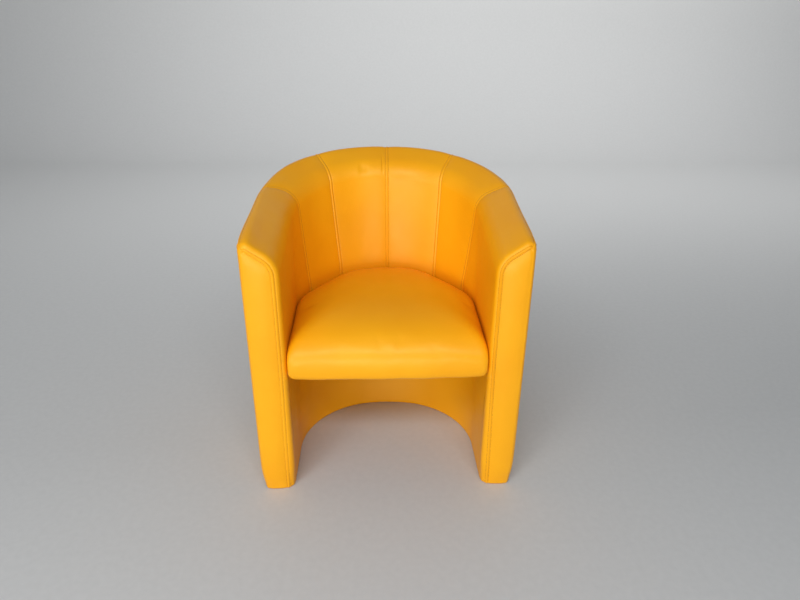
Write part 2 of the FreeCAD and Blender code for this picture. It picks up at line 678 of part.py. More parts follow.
# Screws that hold the cleats to the seat rail
cleat_screw_z = (SEAT_RAIL_TOP + cleat_bottom) / 2.0
cleat_screws = []
cleat_screw_holes = []
screw_sites = []
for side in (-1, 1):
    for y in (CLEAT_FROM_FRONT + CLEAT_SCREW_EDGE, CLEAT_FROM_FRONT + CLEAT_LENGTH - CLEAT_SCREW_EDGE):
        screw_sites.append(wall_station(side, y, cleat_screw_z, CLEAT_SCREW_BEND_GAP))
for angle in (90.0 - CLEAT_SCREW_ANGLE, 90.0 + CLEAT_SCREW_ANGLE):
    screw_sites.append(bend_station(angle))
for site in screw_sites:
    place = site.at(cleat_face, cleat_screw_z)
    outward = V(site.out_x, site.out_y, 0)
    cleat_screws.append(wood_screw(place, outward, CLEAT_SCREW_LENGTH))
    hole_start = place.sub(V(outward).multiply(SCREW_SINK))
    cleat_screw_holes.append(wood_screw(hole_start, outward, CLEAT_SCREW_LENGTH + 1.0, HOLE_GAP))

cleat_left = drill(cleat_left, cleat_screw_holes + bolt_holes)
cleat_right = drill(cleat_right, cleat_screw_holes + bolt_holes)
cleat_back = drill(cleat_back, cleat_screw_holes + bolt_holes)
lower_board = drill(lower_board, cleat_screw_holes)
lower_lining = drill(lower_lining, cleat_screw_holes)
seat_rail = drill(seat_rail, cleat_screw_holes)
seat_cloth = drill(seat_cloth, bolt_holes)
seat_cover = drill(seat_cover, bolt_holes)
seat_frame = drill(seat_frame, barrel_holes)

# Screws through the front posts into the ends of the rails
post_screws = []
post_screw_holes = []
rail_levels = (
    ((BASE_BOTTOM + BASE_TOP) / 2.0, LOWER_BOARD_BACK),
    ((SEAT_RAIL_BOTTOM + SEAT_RAIL_TOP) / 2.0, LOWER_BOARD_BACK),
    (RIM_FRONT + RIM_SLOPE * FRAME_FRONT - RIM_FOAM - TOP_RAIL / 2.0, UPPER_BOARD_BACK),
)
for side in (-1, 1):
    for z, inner in rail_levels:
        for share in POST_SCREW_SHARES:
            d = FRAME_OUTER + (inner - FRAME_OUTER) * share
            place = V(side * (HALF - d), SKIN_FRONT, z)
            post_screws.append(wood_screw(place, V(0, 1, 0), POST_SCREW_LENGTH))
            hole_start = place.sub(V(0, SCREW_SINK, 0))
            post_screw_holes.append(wood_screw(hole_start, V(0, 1, 0), POST_SCREW_LENGTH + 1.0, HOLE_GAP))
front_post_left = drill(front_post_left, post_screw_holes)
front_post_right = drill(front_post_right, post_screw_holes)
base_rail = drill(base_rail, post_screw_holes)
seat_rail = drill(seat_rail, post_screw_holes)
top_rail = drill(top_rail, post_screw_holes)

# Floor glides and their nails
glides = []
nails = []
nail_holes = []
glide_d = WALL / 2.0
glide_sites = []
for side in (-1, 1):
    for y in (GLIDE_FRONT_FROM_FRONT, ARM_END - GLIDE_BEFORE_BEND):
        glide_sites.append(V(side * (HALF - glide_d), y, 0))
for angle in (GLIDE_BACK_ANGLE, 180.0 - GLIDE_BACK_ANGLE):
    glide_sites.append(bend_station(angle).at(glide_d, 0.0))
for site in glide_sites:
    disc = rod(site.x, site.y, 0.0, GLIDE_DIAMETER, GLIDE_HEIGHT)
    disc = disc.makeFillet(GLIDE_ROUND, [edge for edge in disc.Edges if edge.BoundBox.ZMax < 0.01])
    nail_bottom = GLIDE_HEIGHT / 2.0
    nail_length = GLIDE_NAIL_LENGTH + GLIDE_HEIGHT - nail_bottom
    glides.append(disc.cut(rod(site.x, site.y, nail_bottom, GLIDE_NAIL_DIAMETER, GLIDE_HEIGHT)))
    nails.append(rod(site.x, site.y, nail_bottom, GLIDE_NAIL_DIAMETER, nail_length))
    hole_diameter = GLIDE_NAIL_DIAMETER + 2 * HOLE_GAP
    nail_holes.append(rod(site.x, site.y, GLIDE_HEIGHT, hole_diameter, GLIDE_NAIL_LENGTH + 1.0))
base_rail = drill(base_rail, nail_holes)
base_cloth = drill(base_cloth, nail_holes)
front_post_left = drill(front_post_left, nail_holes)
front_post_right = drill(front_post_right, nail_holes)

# Names
nodes["base_rail"] = [base_rail]
nodes["seat_rail"] = [seat_rail]
nodes["top_rail"] = [top_rail]
nodes["front_post_left"] = [front_post_left]
nodes["front_post_right"] = [front_post_right]
nodes["lower_studs"] = lower_studs
nodes["upper_studs"] = upper_studs
nodes["corner_blocks"] = corner_blocks
nodes["outer_board"] = [outer_board]
nodes["inner_board"] = [inner_board]
nodes["lower_inner_board"] = [lower_board]
nodes["outer_wadding"] = [outer_wadding]
nodes["outside_panel_left"] = [outside_left]
nodes["outside_panel_back"] = [outside_back]
nodes["outside_panel_right"] = [outside_right]
for number, (pad, panel) in enumerate(zip(pads, panels), start=1):
    nodes["inside_foam_%d" % number] = [pad]
    nodes["inside_panel_%d" % number] = [panel]
nodes["lower_lining"] = [lower_lining]
nodes["base_cloth"] = [base_cloth]
for name in ("left", "right"):
    nodes["facing_foam_" + name] = [facing_foams[name]]
    nodes["facing_cover_" + name] = [facing_covers[name]]
nodes["seat_frame"] = [seat_frame]
nodes["seat_webbing"] = straps
nodes["seat_foam"] = [seat_foam]
nodes["seat_cover"] = [seat_cover]
nodes["seat_cloth"] = [seat_cloth]
nodes["seat_cleat_left"] = [cleat_left]
nodes["seat_cleat_right"] = [cleat_right]
nodes["seat_cleat_back"] = [cleat_back]
nodes["cleat_screws"] = cleat_screws
nodes["post_screws"] = post_screws
nodes["seat_bolts"] = bolts
nodes["seat_washers"] = washers
nodes["seat_tee_nuts"] = tee_nuts
nodes["floor_glides"] = glides
nodes["glide_nails"] = nails

# Centre the chair on its footprint box and write one file per node
boxes = [shape.optimalBoundingBox() for shapes in nodes.values() for shape in shapes]
low = min(box.YMin for box in boxes)
high = max(box.YMax for box in boxes)
centre = V(0, -(low + high) / 2.0, 0)
os.makedirs("parts", exist_ok=True)
for name, shapes in nodes.items():
    solids = [solid for shape in shapes for solid in shape.Solids]
    whole = solids[0] if len(solids) == 1 else Part.makeCompound(solids)
    whole.translate(centre)
    whole.exportStep("parts/" + name + ".step")
    box = whole.BoundBox
    print("%-20s solids %2d valid %s volume %9.0f  y %6.1f %6.1f  z %6.1f %6.1f" % (
        name, len(solids), whole.isValid(), whole.Volume, box.YMin, box.YMax, box.ZMin, box.ZMax))
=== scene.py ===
import math

import bmesh
import bpy
from mathutils import Matrix, Vector, noise
from mathutils.geometry import intersect_point_line
from mathutils.kdtree import KDTree


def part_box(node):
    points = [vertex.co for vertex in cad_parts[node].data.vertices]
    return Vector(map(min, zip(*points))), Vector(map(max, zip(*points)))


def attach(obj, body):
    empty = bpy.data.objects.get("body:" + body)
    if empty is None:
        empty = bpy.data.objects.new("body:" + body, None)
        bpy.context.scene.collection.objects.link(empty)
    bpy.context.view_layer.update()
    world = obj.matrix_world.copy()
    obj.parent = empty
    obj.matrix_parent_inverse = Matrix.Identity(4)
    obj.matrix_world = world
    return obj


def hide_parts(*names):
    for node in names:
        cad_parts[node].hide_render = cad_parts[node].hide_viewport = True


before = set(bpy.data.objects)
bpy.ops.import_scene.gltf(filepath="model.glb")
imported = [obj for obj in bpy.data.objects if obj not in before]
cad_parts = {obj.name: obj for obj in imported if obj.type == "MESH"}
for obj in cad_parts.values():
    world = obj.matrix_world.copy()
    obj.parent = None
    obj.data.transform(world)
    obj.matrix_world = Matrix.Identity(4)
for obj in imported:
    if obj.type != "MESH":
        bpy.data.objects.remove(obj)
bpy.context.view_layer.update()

# Yellow upholstered tub chair, metres, +Z up, the sitter faces -Y.
# A place on the U-shaped wall is given by run, the way along the outer floor line from the
# middle of the back (left is negative), by depth into the wall from its outer skin, and by z.
# Over the rim a place is given by run and by over, the way from the rim's outer edge inwards
# and down the inner side. Below the outer edge over is negative.

MM = 0.001
scene = bpy.context.scene

# Sizes that the frame gives
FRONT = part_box("facing_cover_left")[0].y
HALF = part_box("facing_cover_right")[1].x
COVER_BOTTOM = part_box("lower_lining")[0].z - 4 * MM
SKIN_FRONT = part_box("lower_lining")[0].y - FRONT
PANEL_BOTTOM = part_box("inside_panel_1")[0].z
SEAT_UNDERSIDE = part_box("seat_cover")[0].z

# Plan of the wall
WALL = 82 * MM
FLOOR_DEPTH = 463 * MM
CORNER_SPREAD = 22 * MM
BACK_FLATTER = 153 * MM
LEAN = math.tan(math.radians(8.0))
CORNER_RADIUS = HALF - CORNER_SPREAD
BACK_RADIUS = CORNER_RADIUS + BACK_FLATTER
CENTRE_RISE = math.sqrt(BACK_FLATTER ** 2 - CORNER_SPREAD ** 2)
BACK_CENTRE_Y = FLOOR_DEPTH - BACK_RADIUS
ARM_END = BACK_CENTRE_Y + CENTRE_RISE
BACK_SWEEP = math.atan2(CORNER_SPREAD, CENTRE_RISE)
RUN_BACK = BACK_RADIUS * BACK_SWEEP
RUN_BEND = RUN_BACK + CORNER_RADIUS * (math.pi / 2 - BACK_SWEEP)

# Rim roll
RIM_FRONT = 668 * MM
RIM_BACK = 772 * MM
RIM_SLOPE = (RIM_BACK - RIM_FRONT) / (FLOOR_DEPTH + LEAN * RIM_BACK)
FALL = math.radians(34.0)
OUTER_RADIUS = 14 * MM
INNER_RADIUS = 60 * MM
LEAST_RADIUS = 2 * MM
OUTER_ARC = OUTER_RADIUS * (math.pi / 2 + FALL)
RIM_FLAT = (WALL - (INNER_RADIUS + OUTER_RADIUS) * (1 - math.sin(FALL))) / math.cos(FALL)
INNER_ARC = INNER_RADIUS * (math.pi / 2 - FALL)
OVER_RIM = OUTER_ARC + RIM_FLAT + INNER_ARC

# Arm front: the skin turns round its edge onto the front face
FRONT_ROUND = 12.5 * MM
RUN_TURN = RUN_BEND + ARM_END - FRONT_ROUND
RUN_FACE = RUN_TURN + FRONT_ROUND * math.pi / 2
RUN_SIDE_SEAM = RUN_BEND + ARM_END - SKIN_FRONT

# Seams. Inside seams: run at the rim's outer edge, at the rim's inner edge and at the seat
OUTER_EDGE_SEAM = 9 * MM
INSIDE_SEAMS = (
    (-462 * MM, -388 * MM, -333 * MM),
    (-211 * MM, -207 * MM, -174 * MM),
    (9 * MM, 9 * MM, 9 * MM),
    (213 * MM, 216 * MM, 197 * MM),
    (470 * MM, 420 * MM, 345 * MM),
)
SEAM_TURN = 40 * MM
SEAT_LEVEL_OVER = 380 * MM
FACE_SEAM_INSET = {-1: 10.5 * MM, 1: 8.0 * MM}
FACE_SEAM_FLOOR_INSET = 15 * MM
FACE_SEAM_DRIFT = 420 * MM
OUTSIDE_SEAM = RUN_BACK + (math.pi / 2 - BACK_SWEEP - math.radians(27.0)) * CORNER_RADIUS

# Where the rim's padding has settled or stands full: run, half length, height off the plain skin
SETTLED = (
    (-440 * MM, 130 * MM, -6 * MM),
    (-612 * MM, 70 * MM, 4 * MM),
    (615 * MM, 70 * MM, 2 * MM),
)
SETTLED_OVER = 15 * MM
SETTLED_REACH = 50 * MM

# Where the padding gives way at each arm's front corners: at the rim and towards the floor
CORNER_RUN = RUN_TURN + 10 * MM
CORNER_GIVE = 2.5 * MM
CORNER_REACH = 14 * MM
FOOT_GIVE = 7 * MM
FOOT_HEIGHT = 45 * MM
FOOT_REACH_OUTER = 50 * MM
FOOT_REACH_INNER = 22 * MM
FOOT_REACH_FRONT = 10 * MM

# Padding under the covers, and the fold, grooves and puckers beside a seam
COVER = 1.5 * MM
PUFF = 4.0 * MM
OUTSIDE_PUFF = 1.0 * MM
PUFF_START = 2.5 * MM
PUFF_REACH = 15 * MM
PUFF_POWER = 1.25
SEAM_RIDGE = 1.2 * MM
GATHER_SHARE = 0.4
GATHER_LENGTH = 4.0 * MM
STITCH_OFF = 4.0 * MM
STITCH_GROOVE = 0.6 * MM
GROOVE_WIDE = 1.0 * MM
PUCKER = 0.55 * MM
PUCKER_OFF = 6 * MM
PUCKER_WIDE = 7 * MM
PUCKER_LENGTH = 5.5 * MM
PUCKER_ACROSS = 30 * MM

# Soft waves of the padding: height and waves to the metre, and the share that a cover shows
WAVES = ((0.5 * MM, 14.0), (0.2 * MM, 37.0))
OUTSIDE_WAVES = 0.6
LINING_WAVES = 0.4
SEAT_WAVES = 0.5

# The fold beside the middle seam and the soft hollows: run, over, width, length and depth
DIMPLES = (
    (-6.5 * MM, 106 * MM, 2.6 * MM, 22 * MM, 2.6 * MM),
    (-80 * MM, 118 * MM, 7 * MM, 13 * MM, 4.0 * MM),
    (-62 * MM, 120 * MM, 6 * MM, 12 * MM, 3.5 * MM),
)
DIMPLE_OFF = 5 * MM

# Facings, lining and hems
FACE_BULGE = 2.5 * MM
FACE_POLE_DROP = 8 * MM
FACE_EDGE = 16 * MM
FACE_LEG_ROWS = 0.4
FACE_ROWS = 280
FACE_HEM_REACH = 45 * MM
HEM_PUFF = 0.3
HEM_ROUND = 4 * MM
HEM = 8 * MM
LINING_GAP = 0.3 * MM
LINING_PADDED = 30 * MM

# Stitches, and how far down the inside seams are sewn
STITCH_PITCH = 4.4 * MM
STITCH_LENGTH = 3.5 * MM
THREAD = 0.75 * MM
THREAD_RAISE = 0.15 * THREAD
SEWN_OVER = 350 * MM
SEWN_TO_Z = 410 * MM
RIM_STITCHES_PAST = 6 * MM
HEM_CLEAR = 6 * MM

# How close the points of a cover stand beside its seams
CROWD_EDGE = 26 * MM
CROWD_POWER = 1.6

# Seat. Its levels: height over its underside in front and behind, inset from the wall and in
# front, all mm, and slope in degrees
SEAT_EDGE = WALL + 4.5 * MM
SEAT_LEVELS = (
    (0, 0, 9, 9, -60),
    (11, 12, 1.5, 2, -20),
    (30, 56, 0, 0, 0),
    (52, 94, 0.5, 5, 18),
    (73, 110, 6, 19, 43),
    (92, 119, 22, 44, 60),
    (109, 125, 58, 88, 74),
    (120, 129, 112, 142, 83),
    (125, 131, 175, 204, 88),
)
SEAT_LEVEL_STEPS = 5
SEAT_FORWARD = 9 * MM
SEAT_CORNER = 10 * MM
SEAT_CORNER_GROWS = 0.3
SEAT_BOW = 5 * MM
SEAT_SPREAD = 12 * MM
SEAT_SQUEEZE = 6 * MM
SEAT_BACK_GAP = 6 * MM
SEAT_DROP = 18 * MM
SEAT_DROP_AT = math.radians(52.0)
SEAT_DROP_WIDE = math.radians(28.0)
SEAT_PUSH = 4 * MM
SEAT_SAG = 9 * MM
SEAT_CREASE_AT = 108 * MM
SEAT_CREASE = 1.2 * MM
SEAT_CREASE_WIDE = 2.5 * MM
SEAT_WAVE = 1.0 * MM
SEAT_WAVE_PACE = 16.0
SEAT_SHRINK = 1.5 * MM
SEAT_POINTS = 200
SEAT_VOXEL = 6 * MM
SEAT_FRAMES = 20
SEAT_MOVE_CAP = 3 * MM

# Where the seat's small forms fade in, from none to full, mm: by y behind the arms' fronts, by
# height over the underside, or by depth past the seat's edge
LIP_Y = (6, -4)
LIP_LOW = (-10, 10)
LIP_HIGH = (115, 70)
SPREAD_DEPTH = (25, 0)
SQUEEZE_DEPTH = (40, 0)
BACK_GAP_Y = (200, 380)
DROP_DEPTH = (110, 0)
DROP_HIGH = (0, 80)
PUSH_Y = (30, 0)
SAG_HIGH = (45, 5)
SAG_Y = (24, 8)
FOLD_HIGH = (50, 20)
FOLD_Y = (60, 10)

# Cloths and straps under the seat
CLOTH_EDGE = 6 * MM
CLOTH_RAISE = 0.1 * MM
SEAT_CLOTH_INSET = 18 * MM
SEAT_CLOTH_RING = 20 * MM
STRAP_WIDTH = 50 * MM
STRAP_PITCH_X = 78 * MM
STRAP_PITCH_Y = 96 * MM
STRAP_INSET = 36 * MM


def clamp(x, low=0.0, high=1.0):
    return min(max(x, low), high)


def ease(x):
    x = clamp(x)
    return x * x * (3 - 2 * x)


def mix(a, b, t):
    return a + (b - a) * t


def fade(value, span):
    """From 0 to 1 as a length goes over a span given in mm."""
    return ease((value / MM - span[0]) / (span[1] - span[0]))


# The wall's plan and its rim

class Foot:
    """Where the outer skin stands on the floor at a run, which way is out, and the lean there."""

    def __init__(self, run):
        side = -1.0 if run < 0 else 1.0
        way = min(abs(run), RUN_FACE)
        self.turn = 0.0
        self.lean = LEAN
        self.radius = None
        if way <= RUN_BEND:
            x, y, self.radius, angle = 0, BACK_CENTRE_Y, BACK_RADIUS, way / BACK_RADIUS
            if way > RUN_BACK:
                x, y, self.radius = CORNER_SPREAD, ARM_END, CORNER_RADIUS
                angle = BACK_SWEEP + (way - RUN_BACK) / CORNER_RADIUS
            self.out = (side * math.sin(angle), math.cos(angle))
            self.spot = (side * (x + self.radius * math.sin(angle)), y + self.radius * math.cos(angle))
        else:
            y = max(ARM_END - (way - RUN_BEND), FRONT_ROUND)
            if way > RUN_TURN:
                self.turn = (way - RUN_TURN) / FRONT_ROUND
            self.out = (side, 0.0)
            self.spot = (side * HALF, y)
            self.lean = LEAN * clamp((y - SKIN_FRONT) / (ARM_END - SKIN_FRONT))
        self.inset = FRONT_ROUND * (1 - math.cos(self.turn)) + max(abs(run) - RUN_FACE, 0.0)
        self.forward = FRONT_ROUND * math.sin(self.turn)

    def at(self, depth, z, lift=0.0):
        """The point at a depth and a height. On the arm's front lift moves it forwards."""
        x = self.spot[0] - depth * self.out[0]
        y = self.spot[1] - depth * self.out[1] + self.lean * z - self.forward - lift * math.sin(self.turn)
        return Vector((x, y + FRONT, z))

    def narrower(self, depth):
        """Length along the wall at this depth for each length along its outer skin."""
        return 1.0 if self.radius is None else (self.radius - depth) / self.radius


def settled(run, over):
    """How far the rim's outer edge lies off the plain skin where its padding is uneven."""
    near = ease(1 - abs(over - SETTLED_OVER) / SETTLED_REACH)
    if near == 0.0:
        return 0.0
    return near * sum(height * ease(1 - abs(run - middle) / reach) for middle, reach, height in SETTLED)


def soft_corner(run, over):
    """How far the padding gives way at the top front corner of each arm."""
    away = (abs(run) - CORNER_RUN, over - OUTER_ARC / 2)
    return CORNER_GIVE * math.exp(-(away[0] ** 2 + away[1] ** 2) / CORNER_REACH ** 2)


def soft_foot(run, over, z):
    """How far the padding gives way at each arm's front corners towards the floor."""
    away = abs(run) - CORNER_RUN
    reach = FOOT_REACH_FRONT
    if away < 0:
        reach = FOOT_REACH_OUTER if over < OVER_RIM else FOOT_REACH_INNER
    return FOOT_GIVE * math.exp(-(away / reach) ** 2 - ((z - COVER_BOTTOM) / FOOT_HEIGHT) ** 2)


def rim_cut(foot, inset):
    """Centres and radii of the rim's two arcs when the whole outline is drawn in by inset."""
    top = (RIM_FRONT + RIM_SLOPE * (foot.spot[1] - foot.forward)) / (1 - RIM_SLOPE * foot.lean)
    r1 = max(OUTER_RADIUS - inset, LEAST_RADIUS)
    r2 = max(INNER_RADIUS - inset, LEAST_RADIUS)
    reach = OUTER_RADIUS * (1 + math.sin(FALL)) + (top - OUTER_RADIUS) * math.cos(FALL) - inset
    x1 = inset + r1
    x2 = WALL - inset - r2
    z1 = (reach - r1 - math.sin(FALL) * x1) / math.cos(FALL)
    z2 = (reach - r2 - math.sin(FALL) * x2) / math.cos(FALL)
    return x1, z1, r1, x2, z2, r2


def plain_cut(run):
    return rim_cut(Foot(run), 0.0)


def skin(run, over, lift=0.0):
    """A point of the wall's skin, lifted off it by lift."""
    foot = Foot(run)
    inset = foot.inset
    x1, z1, r1, x2, z2, r2 = rim_cut(foot, inset)
    plain = rim_cut(foot, 0.0)
    end = math.pi / 2 - FALL
    if over < 0:
        out = (-1.0, 0.0)
        depth = inset
        z = z1 + over * (z1 - COVER_BOTTOM) / (plain[1] - COVER_BOTTOM)
    elif over < OUTER_ARC:
        turn = math.pi - over / OUTER_RADIUS
        out = (math.cos(turn), math.sin(turn))
        depth, z = x1 + r1 * out[0], z1 + r1 * out[1]
    elif over < OUTER_ARC + RIM_FLAT:
        share = (over - OUTER_ARC) / RIM_FLAT
        out = (math.cos(end), math.sin(end))
        depth = mix(x1 + r1 * out[0], x2 + r2 * out[0], share)
        z = mix(z1 + r1 * out[1], z2 + r2 * out[1], share)
    elif over < OVER_RIM:
        turn = end * (1 - (over - OUTER_ARC - RIM_FLAT) / INNER_ARC)
        out = (math.cos(turn), math.sin(turn))
        depth, z = x2 + r2 * out[0], z2 + r2 * out[1]
    else:
        out = (1.0, 0.0)
        depth = WALL - inset
        z = z2 - (over - OVER_RIM) * (z2 - COVER_BOTTOM) / (plain[4] - COVER_BOTTOM)
    lift += settled(run, over) - soft_corner(run, over) - soft_foot(run, over, z)
    share = lift * math.cos(foot.turn)
    return foot.at(depth + share * out[0], z + share * out[1], lift)


def over_inside(run, z):
    """The way over the rim at which the inner side comes down to height z."""
    return OVER_RIM + plain_cut(run)[4] - z


def over_outside(run, z):
    """The same on the outer side, a negative way."""
    return z - plain_cut(run)[1]


def seam_run(number, over):
    """Run of an inside seam where it is this far over the rim."""
    edge, inner, seat = INSIDE_SEAMS[number]
    along_rim = mix(edge, inner, over / OVER_RIM)
    along_wall = mix(inner, seat, clamp((over - OVER_RIM) / (SEAT_LEVEL_OVER - OVER_RIM)))
    joint = ease((over - OVER_RIM + SEAM_TURN) / (2 * SEAM_TURN))
    # Past the rim's inner edge the rim's line never runs further out than the seam there
    return mix(min(along_rim, inner, key=abs) if over > OVER_RIM else along_rim, along_wall, joint)


def face_run(inset):
    """Run on the arm's front where the skin is this far in from the outline."""
    if inset <= FRONT_ROUND:
        return RUN_TURN + FRONT_ROUND * math.acos(1 - inset / FRONT_ROUND)
    return RUN_FACE + inset - FRONT_ROUND


def face_seam_run(side, z):
    """Run at which the facing is sewn on: on the front face, drifting inwards towards the floor."""
    low = ease((FACE_SEAM_DRIFT - z) / FACE_SEAM_DRIFT)
    return face_run(mix(FACE_SEAM_INSET[side], FACE_SEAM_FLOOR_INSET, low))


# Padding: how far the skin stands off the plain wall near a seam

def fullness(distance):
    """Share of its full height that the padding has at a distance from a seam."""
    return 1 - math.exp(-(max(abs(distance) - PUFF_START, 0.0) / PUFF_REACH) ** PUFF_POWER)


def seam_detail(distance, along):
    """Fine forms beside a seam: the raised fold, the grooves of the stitches and the puckers."""
    near = abs(distance)
    # In both noises the last numbers only pick a slice
    gather = noise.noise((along / GATHER_LENGTH, 7.0, 0.0))
    ridge = SEAM_RIDGE * (1 + GATHER_SHARE * gather) * (1 - ease(near / STITCH_OFF))
    groove = -STITCH_GROOVE * math.exp(-((near - STITCH_OFF) / GROOVE_WIDE) ** 2)
    band = math.exp(-((near - PUCKER_OFF) / PUCKER_WIDE) ** 2)
    ripple = noise.noise((along / PUCKER_LENGTH, near / PUCKER_ACROSS, math.copysign(3.0, distance)))
    return ridge + groove + PUCKER * band * ripple


def relief(distance, along, puff=PUFF):
    """Height over the plain skin beside a single seam."""
    return puff * fullness(distance) + seam_detail(distance, along)


def corner_relief(across, along_across, up, along_up, puff=PUFF):
    """The same where two seams are near: across and up are the distances from each."""
    detail = seam_detail(across, along_across) if abs(across) < abs(up) else seam_detail(up, along_up)
    return puff * fullness(across) * fullness(up) + detail


def soft_waves(spot):
    """Slow unevenness of the padding under a stretched cover."""
    return sum(height * noise.noise(spot * pace) for height, pace in WAVES)


# Building pieces

def finish_mesh(bm, name):
    mesh = bpy.data.meshes.new(name)
    bm.to_mesh(mesh)
    bm.free()
    piece = bpy.data.objects.new(name, mesh)
    scene.collection.objects.link(piece)
    for face in mesh.polygons:
        face.use_smooth = True
    return piece


def lay_grid(bm, columns, rows, place):
    """Adds a grid whose points go where place(across, up) says, both from 0 to 1."""
    made = bmesh.ops.create_grid(bm, x_segments=columns, y_segments=rows, size=0.5, calc_uvs=False)
    for vert in made["verts"]:
        vert.co = place(clamp(vert.co.x + 0.5), clamp(vert.co.y + 0.5))
    return made["verts"]


def face_towards(bm, outside):
    """Turns all faces over if the one nearest to a point outside the cover looks away from it."""
    bm.normal_update()
    face = min(bm.faces, key=lambda f: (f.calc_center_median() - outside).length_squared)
    if face.normal.dot(outside - face.calc_center_median()) < 0:
        bmesh.ops.reverse_faces(bm, faces=bm.faces)


def crowd(t, length, edge=CROWD_EDGE, share=0.34):
    """Spreads columns so that a share of them lies within edge of each end, closest at the ends."""
    if t > 0.5:
        return 1 - crowd(1 - t, length, edge, share)
    reach = min(edge / length, 0.4)
    if t < share:
        return reach * (t / share) ** CROWD_POWER
    return mix(reach, 0.5, (t - share) / (0.5 - share))


def crowd_start(t, length, edge=CROWD_EDGE, share=0.14):
    """The same at the start only."""
    reach = edge / length
    if t < share:
        return reach * (t / share) ** CROWD_POWER
    return mix(reach, 1.0, (t - share) / (1 - share))


def plan_centre(x, y):
    """Centre and radius of the outer skin's bend at a point behind the arms' straight parts."""
    if math.atan2(abs(x), y - BACK_CENTRE_Y) < BACK_SWEEP:
        return Vector((0, BACK_CENTRE_Y, 0)), BACK_RADIUS
    return Vector((math.copysign(CORNER_SPREAD, x), ARM_END, 0)), CORNER_RADIUS


def wall_middle(spot):
    """The nearest point of the wall's middle line, at the same height."""
    x, y = spot.x, spot.y - FRONT
    if y <= ARM_END:
        return Vector((math.copysign(HALF - WALL / 2, x), max(y, WALL / 2) + FRONT, spot.z))
    centre, radius = plan_centre(x, y)
    way = (Vector((x, y, 0)) - centre).normalized() * (radius - WALL / 2) + centre
    return Vector((way.x, way.y + FRONT, spot.z))


def turn_under(bm):
    """Rounds a cover's lower edge and turns its hem in under the wall."""
    level = COVER_BOTTOM + HEM_ROUND
    edges = [e for e in bm.edges if e.is_boundary and max(v.co.z for v in e.verts) < level + 0.1 * MM]
    # Two steps round the edge and one for the hem: how far inwards and down
    steps = ((0.3 * HEM_ROUND, 0.7 * HEM_ROUND), (0.7 * HEM_ROUND, 0.3 * HEM_ROUND), (HEM, 0.0))
    for inwards, down in steps:
        made = bmesh.ops.extrude_edge_only(bm, edges=edges)["geom"]
        edges = [item for item in made if isinstance(item, bmesh.types.BMEdge)]
        for vert in {v for e in edges for v in e.verts}:
            way = (wall_middle(vert.co) - vert.co).normalized()
            vert.co += way * inwards - Vector((0, 0, down))


def finish_cover(bm, name, outside, thickness=COVER, hem=True):
    """An open cover that faces a point outside it, with its hem and its thickness inwards."""
    face_towards(bm, outside)
    if hem:
        turn_under(bm)
    piece = finish_mesh(bm, name)
    wall = piece.modifiers.new("thickness", "SOLIDIFY")
    wall.thickness = thickness
    wall.offset = -1.0
    return piece


def grid_cover(name, columns, rows, place, outside, **finish):
    bm = bmesh.new()
    lay_grid(bm, columns, rows, place)
    return finish_cover(bm, name, outside, **finish)


# Inside panels

def panel_edges(number, over):
    """Runs of a panel's left and right edge where it is this far over the rim."""
    z = skin(RUN_TURN, over).z
    left = -face_seam_run(-1, z) if number == 0 else seam_run(number - 1, over)
    right = face_seam_run(1, z) if number == 5 else seam_run(number, over)
    return left, right


def dimples(run, over):
    """Depth of the short fold beside the middle seam and of the soft hollows left of it."""
    depth = 0.0
    for at_run, at_over, across, along, deep in DIMPLES:
        depth += deep * math.exp(-((run - at_run) / across) ** 2 - ((over - at_over) / along) ** 2)
    return depth


def panel_lift(left, right, run, over, spot):
    """How far the padded panel stands off the plain wall."""
    narrow = Foot(run).narrower(clamp(over - OUTER_ARC, 0.0, WALL))
    from_left = (run - left) * narrow
    from_right = (right - run) * narrow
    from_side = from_left if from_left < from_right else -from_right
    low = corner_relief(from_side, over, over - OUTER_EDGE_SEAM, run)
    off_seam = ease(abs(from_side) / DIMPLE_OFF)
    return low + soft_waves(spot) * clamp(low / PUFF) - dimples(run, over) * off_seam


def panel_spot(number, run, over):
    left, right = panel_edges(number, over)
    return skin(run, over, panel_lift(left, right, run, over, skin(run, over)))


def panel_place(number):
    def place(across, up):
        left, right = panel_edges(number, OVER_RIM)
        end = over_inside(mix(left, right, across), PANEL_BOTTOM)
        length = end - OUTER_EDGE_SEAM
        over = OUTER_EDGE_SEAM + length * crowd_start(1 - up, length)
        left, right = panel_edges(number, over)
        return panel_spot(number, mix(left, right, crowd(across, right - left)), over)
    return place


def make_inside_covers():
    made = []
    for number in range(6):
        piece = grid_cover("inside_cover_%d" % (number + 1), 60, 140, panel_place(number),
                           Vector((0, FRONT + 0.25, 0.6)), hem=False)
        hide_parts("inside_panel_%d" % (number + 1), "inside_foam_%d" % (number + 1))
        made.append(piece)
    return made


# Arm facings

def facing_row(up, side):
    """Over for a row of the facing: up the outer leg, over the rim, down the inner leg."""
    top = plain_cut(side * RUN_FACE)
    leg_top = top[4]
    bottom = COVER_BOTTOM + HEM_ROUND
    if up < FACE_LEG_ROWS:
        return mix(bottom, leg_top, up / FACE_LEG_ROWS) - top[1]
    if up < 1 - FACE_LEG_ROWS:
        return mix(leg_top - top[1], OVER_RIM, (up - FACE_LEG_ROWS) / (1 - 2 * FACE_LEG_ROWS))
    return OVER_RIM + mix(0.0, leg_top - bottom, (up - 1 + FACE_LEG_ROWS) / FACE_LEG_ROWS)


def facing_seam_run(side, over):
    """Run of the facing's seam where it is this far over the rim."""
    return face_seam_run(side, skin(side * RUN_FACE, over).z)


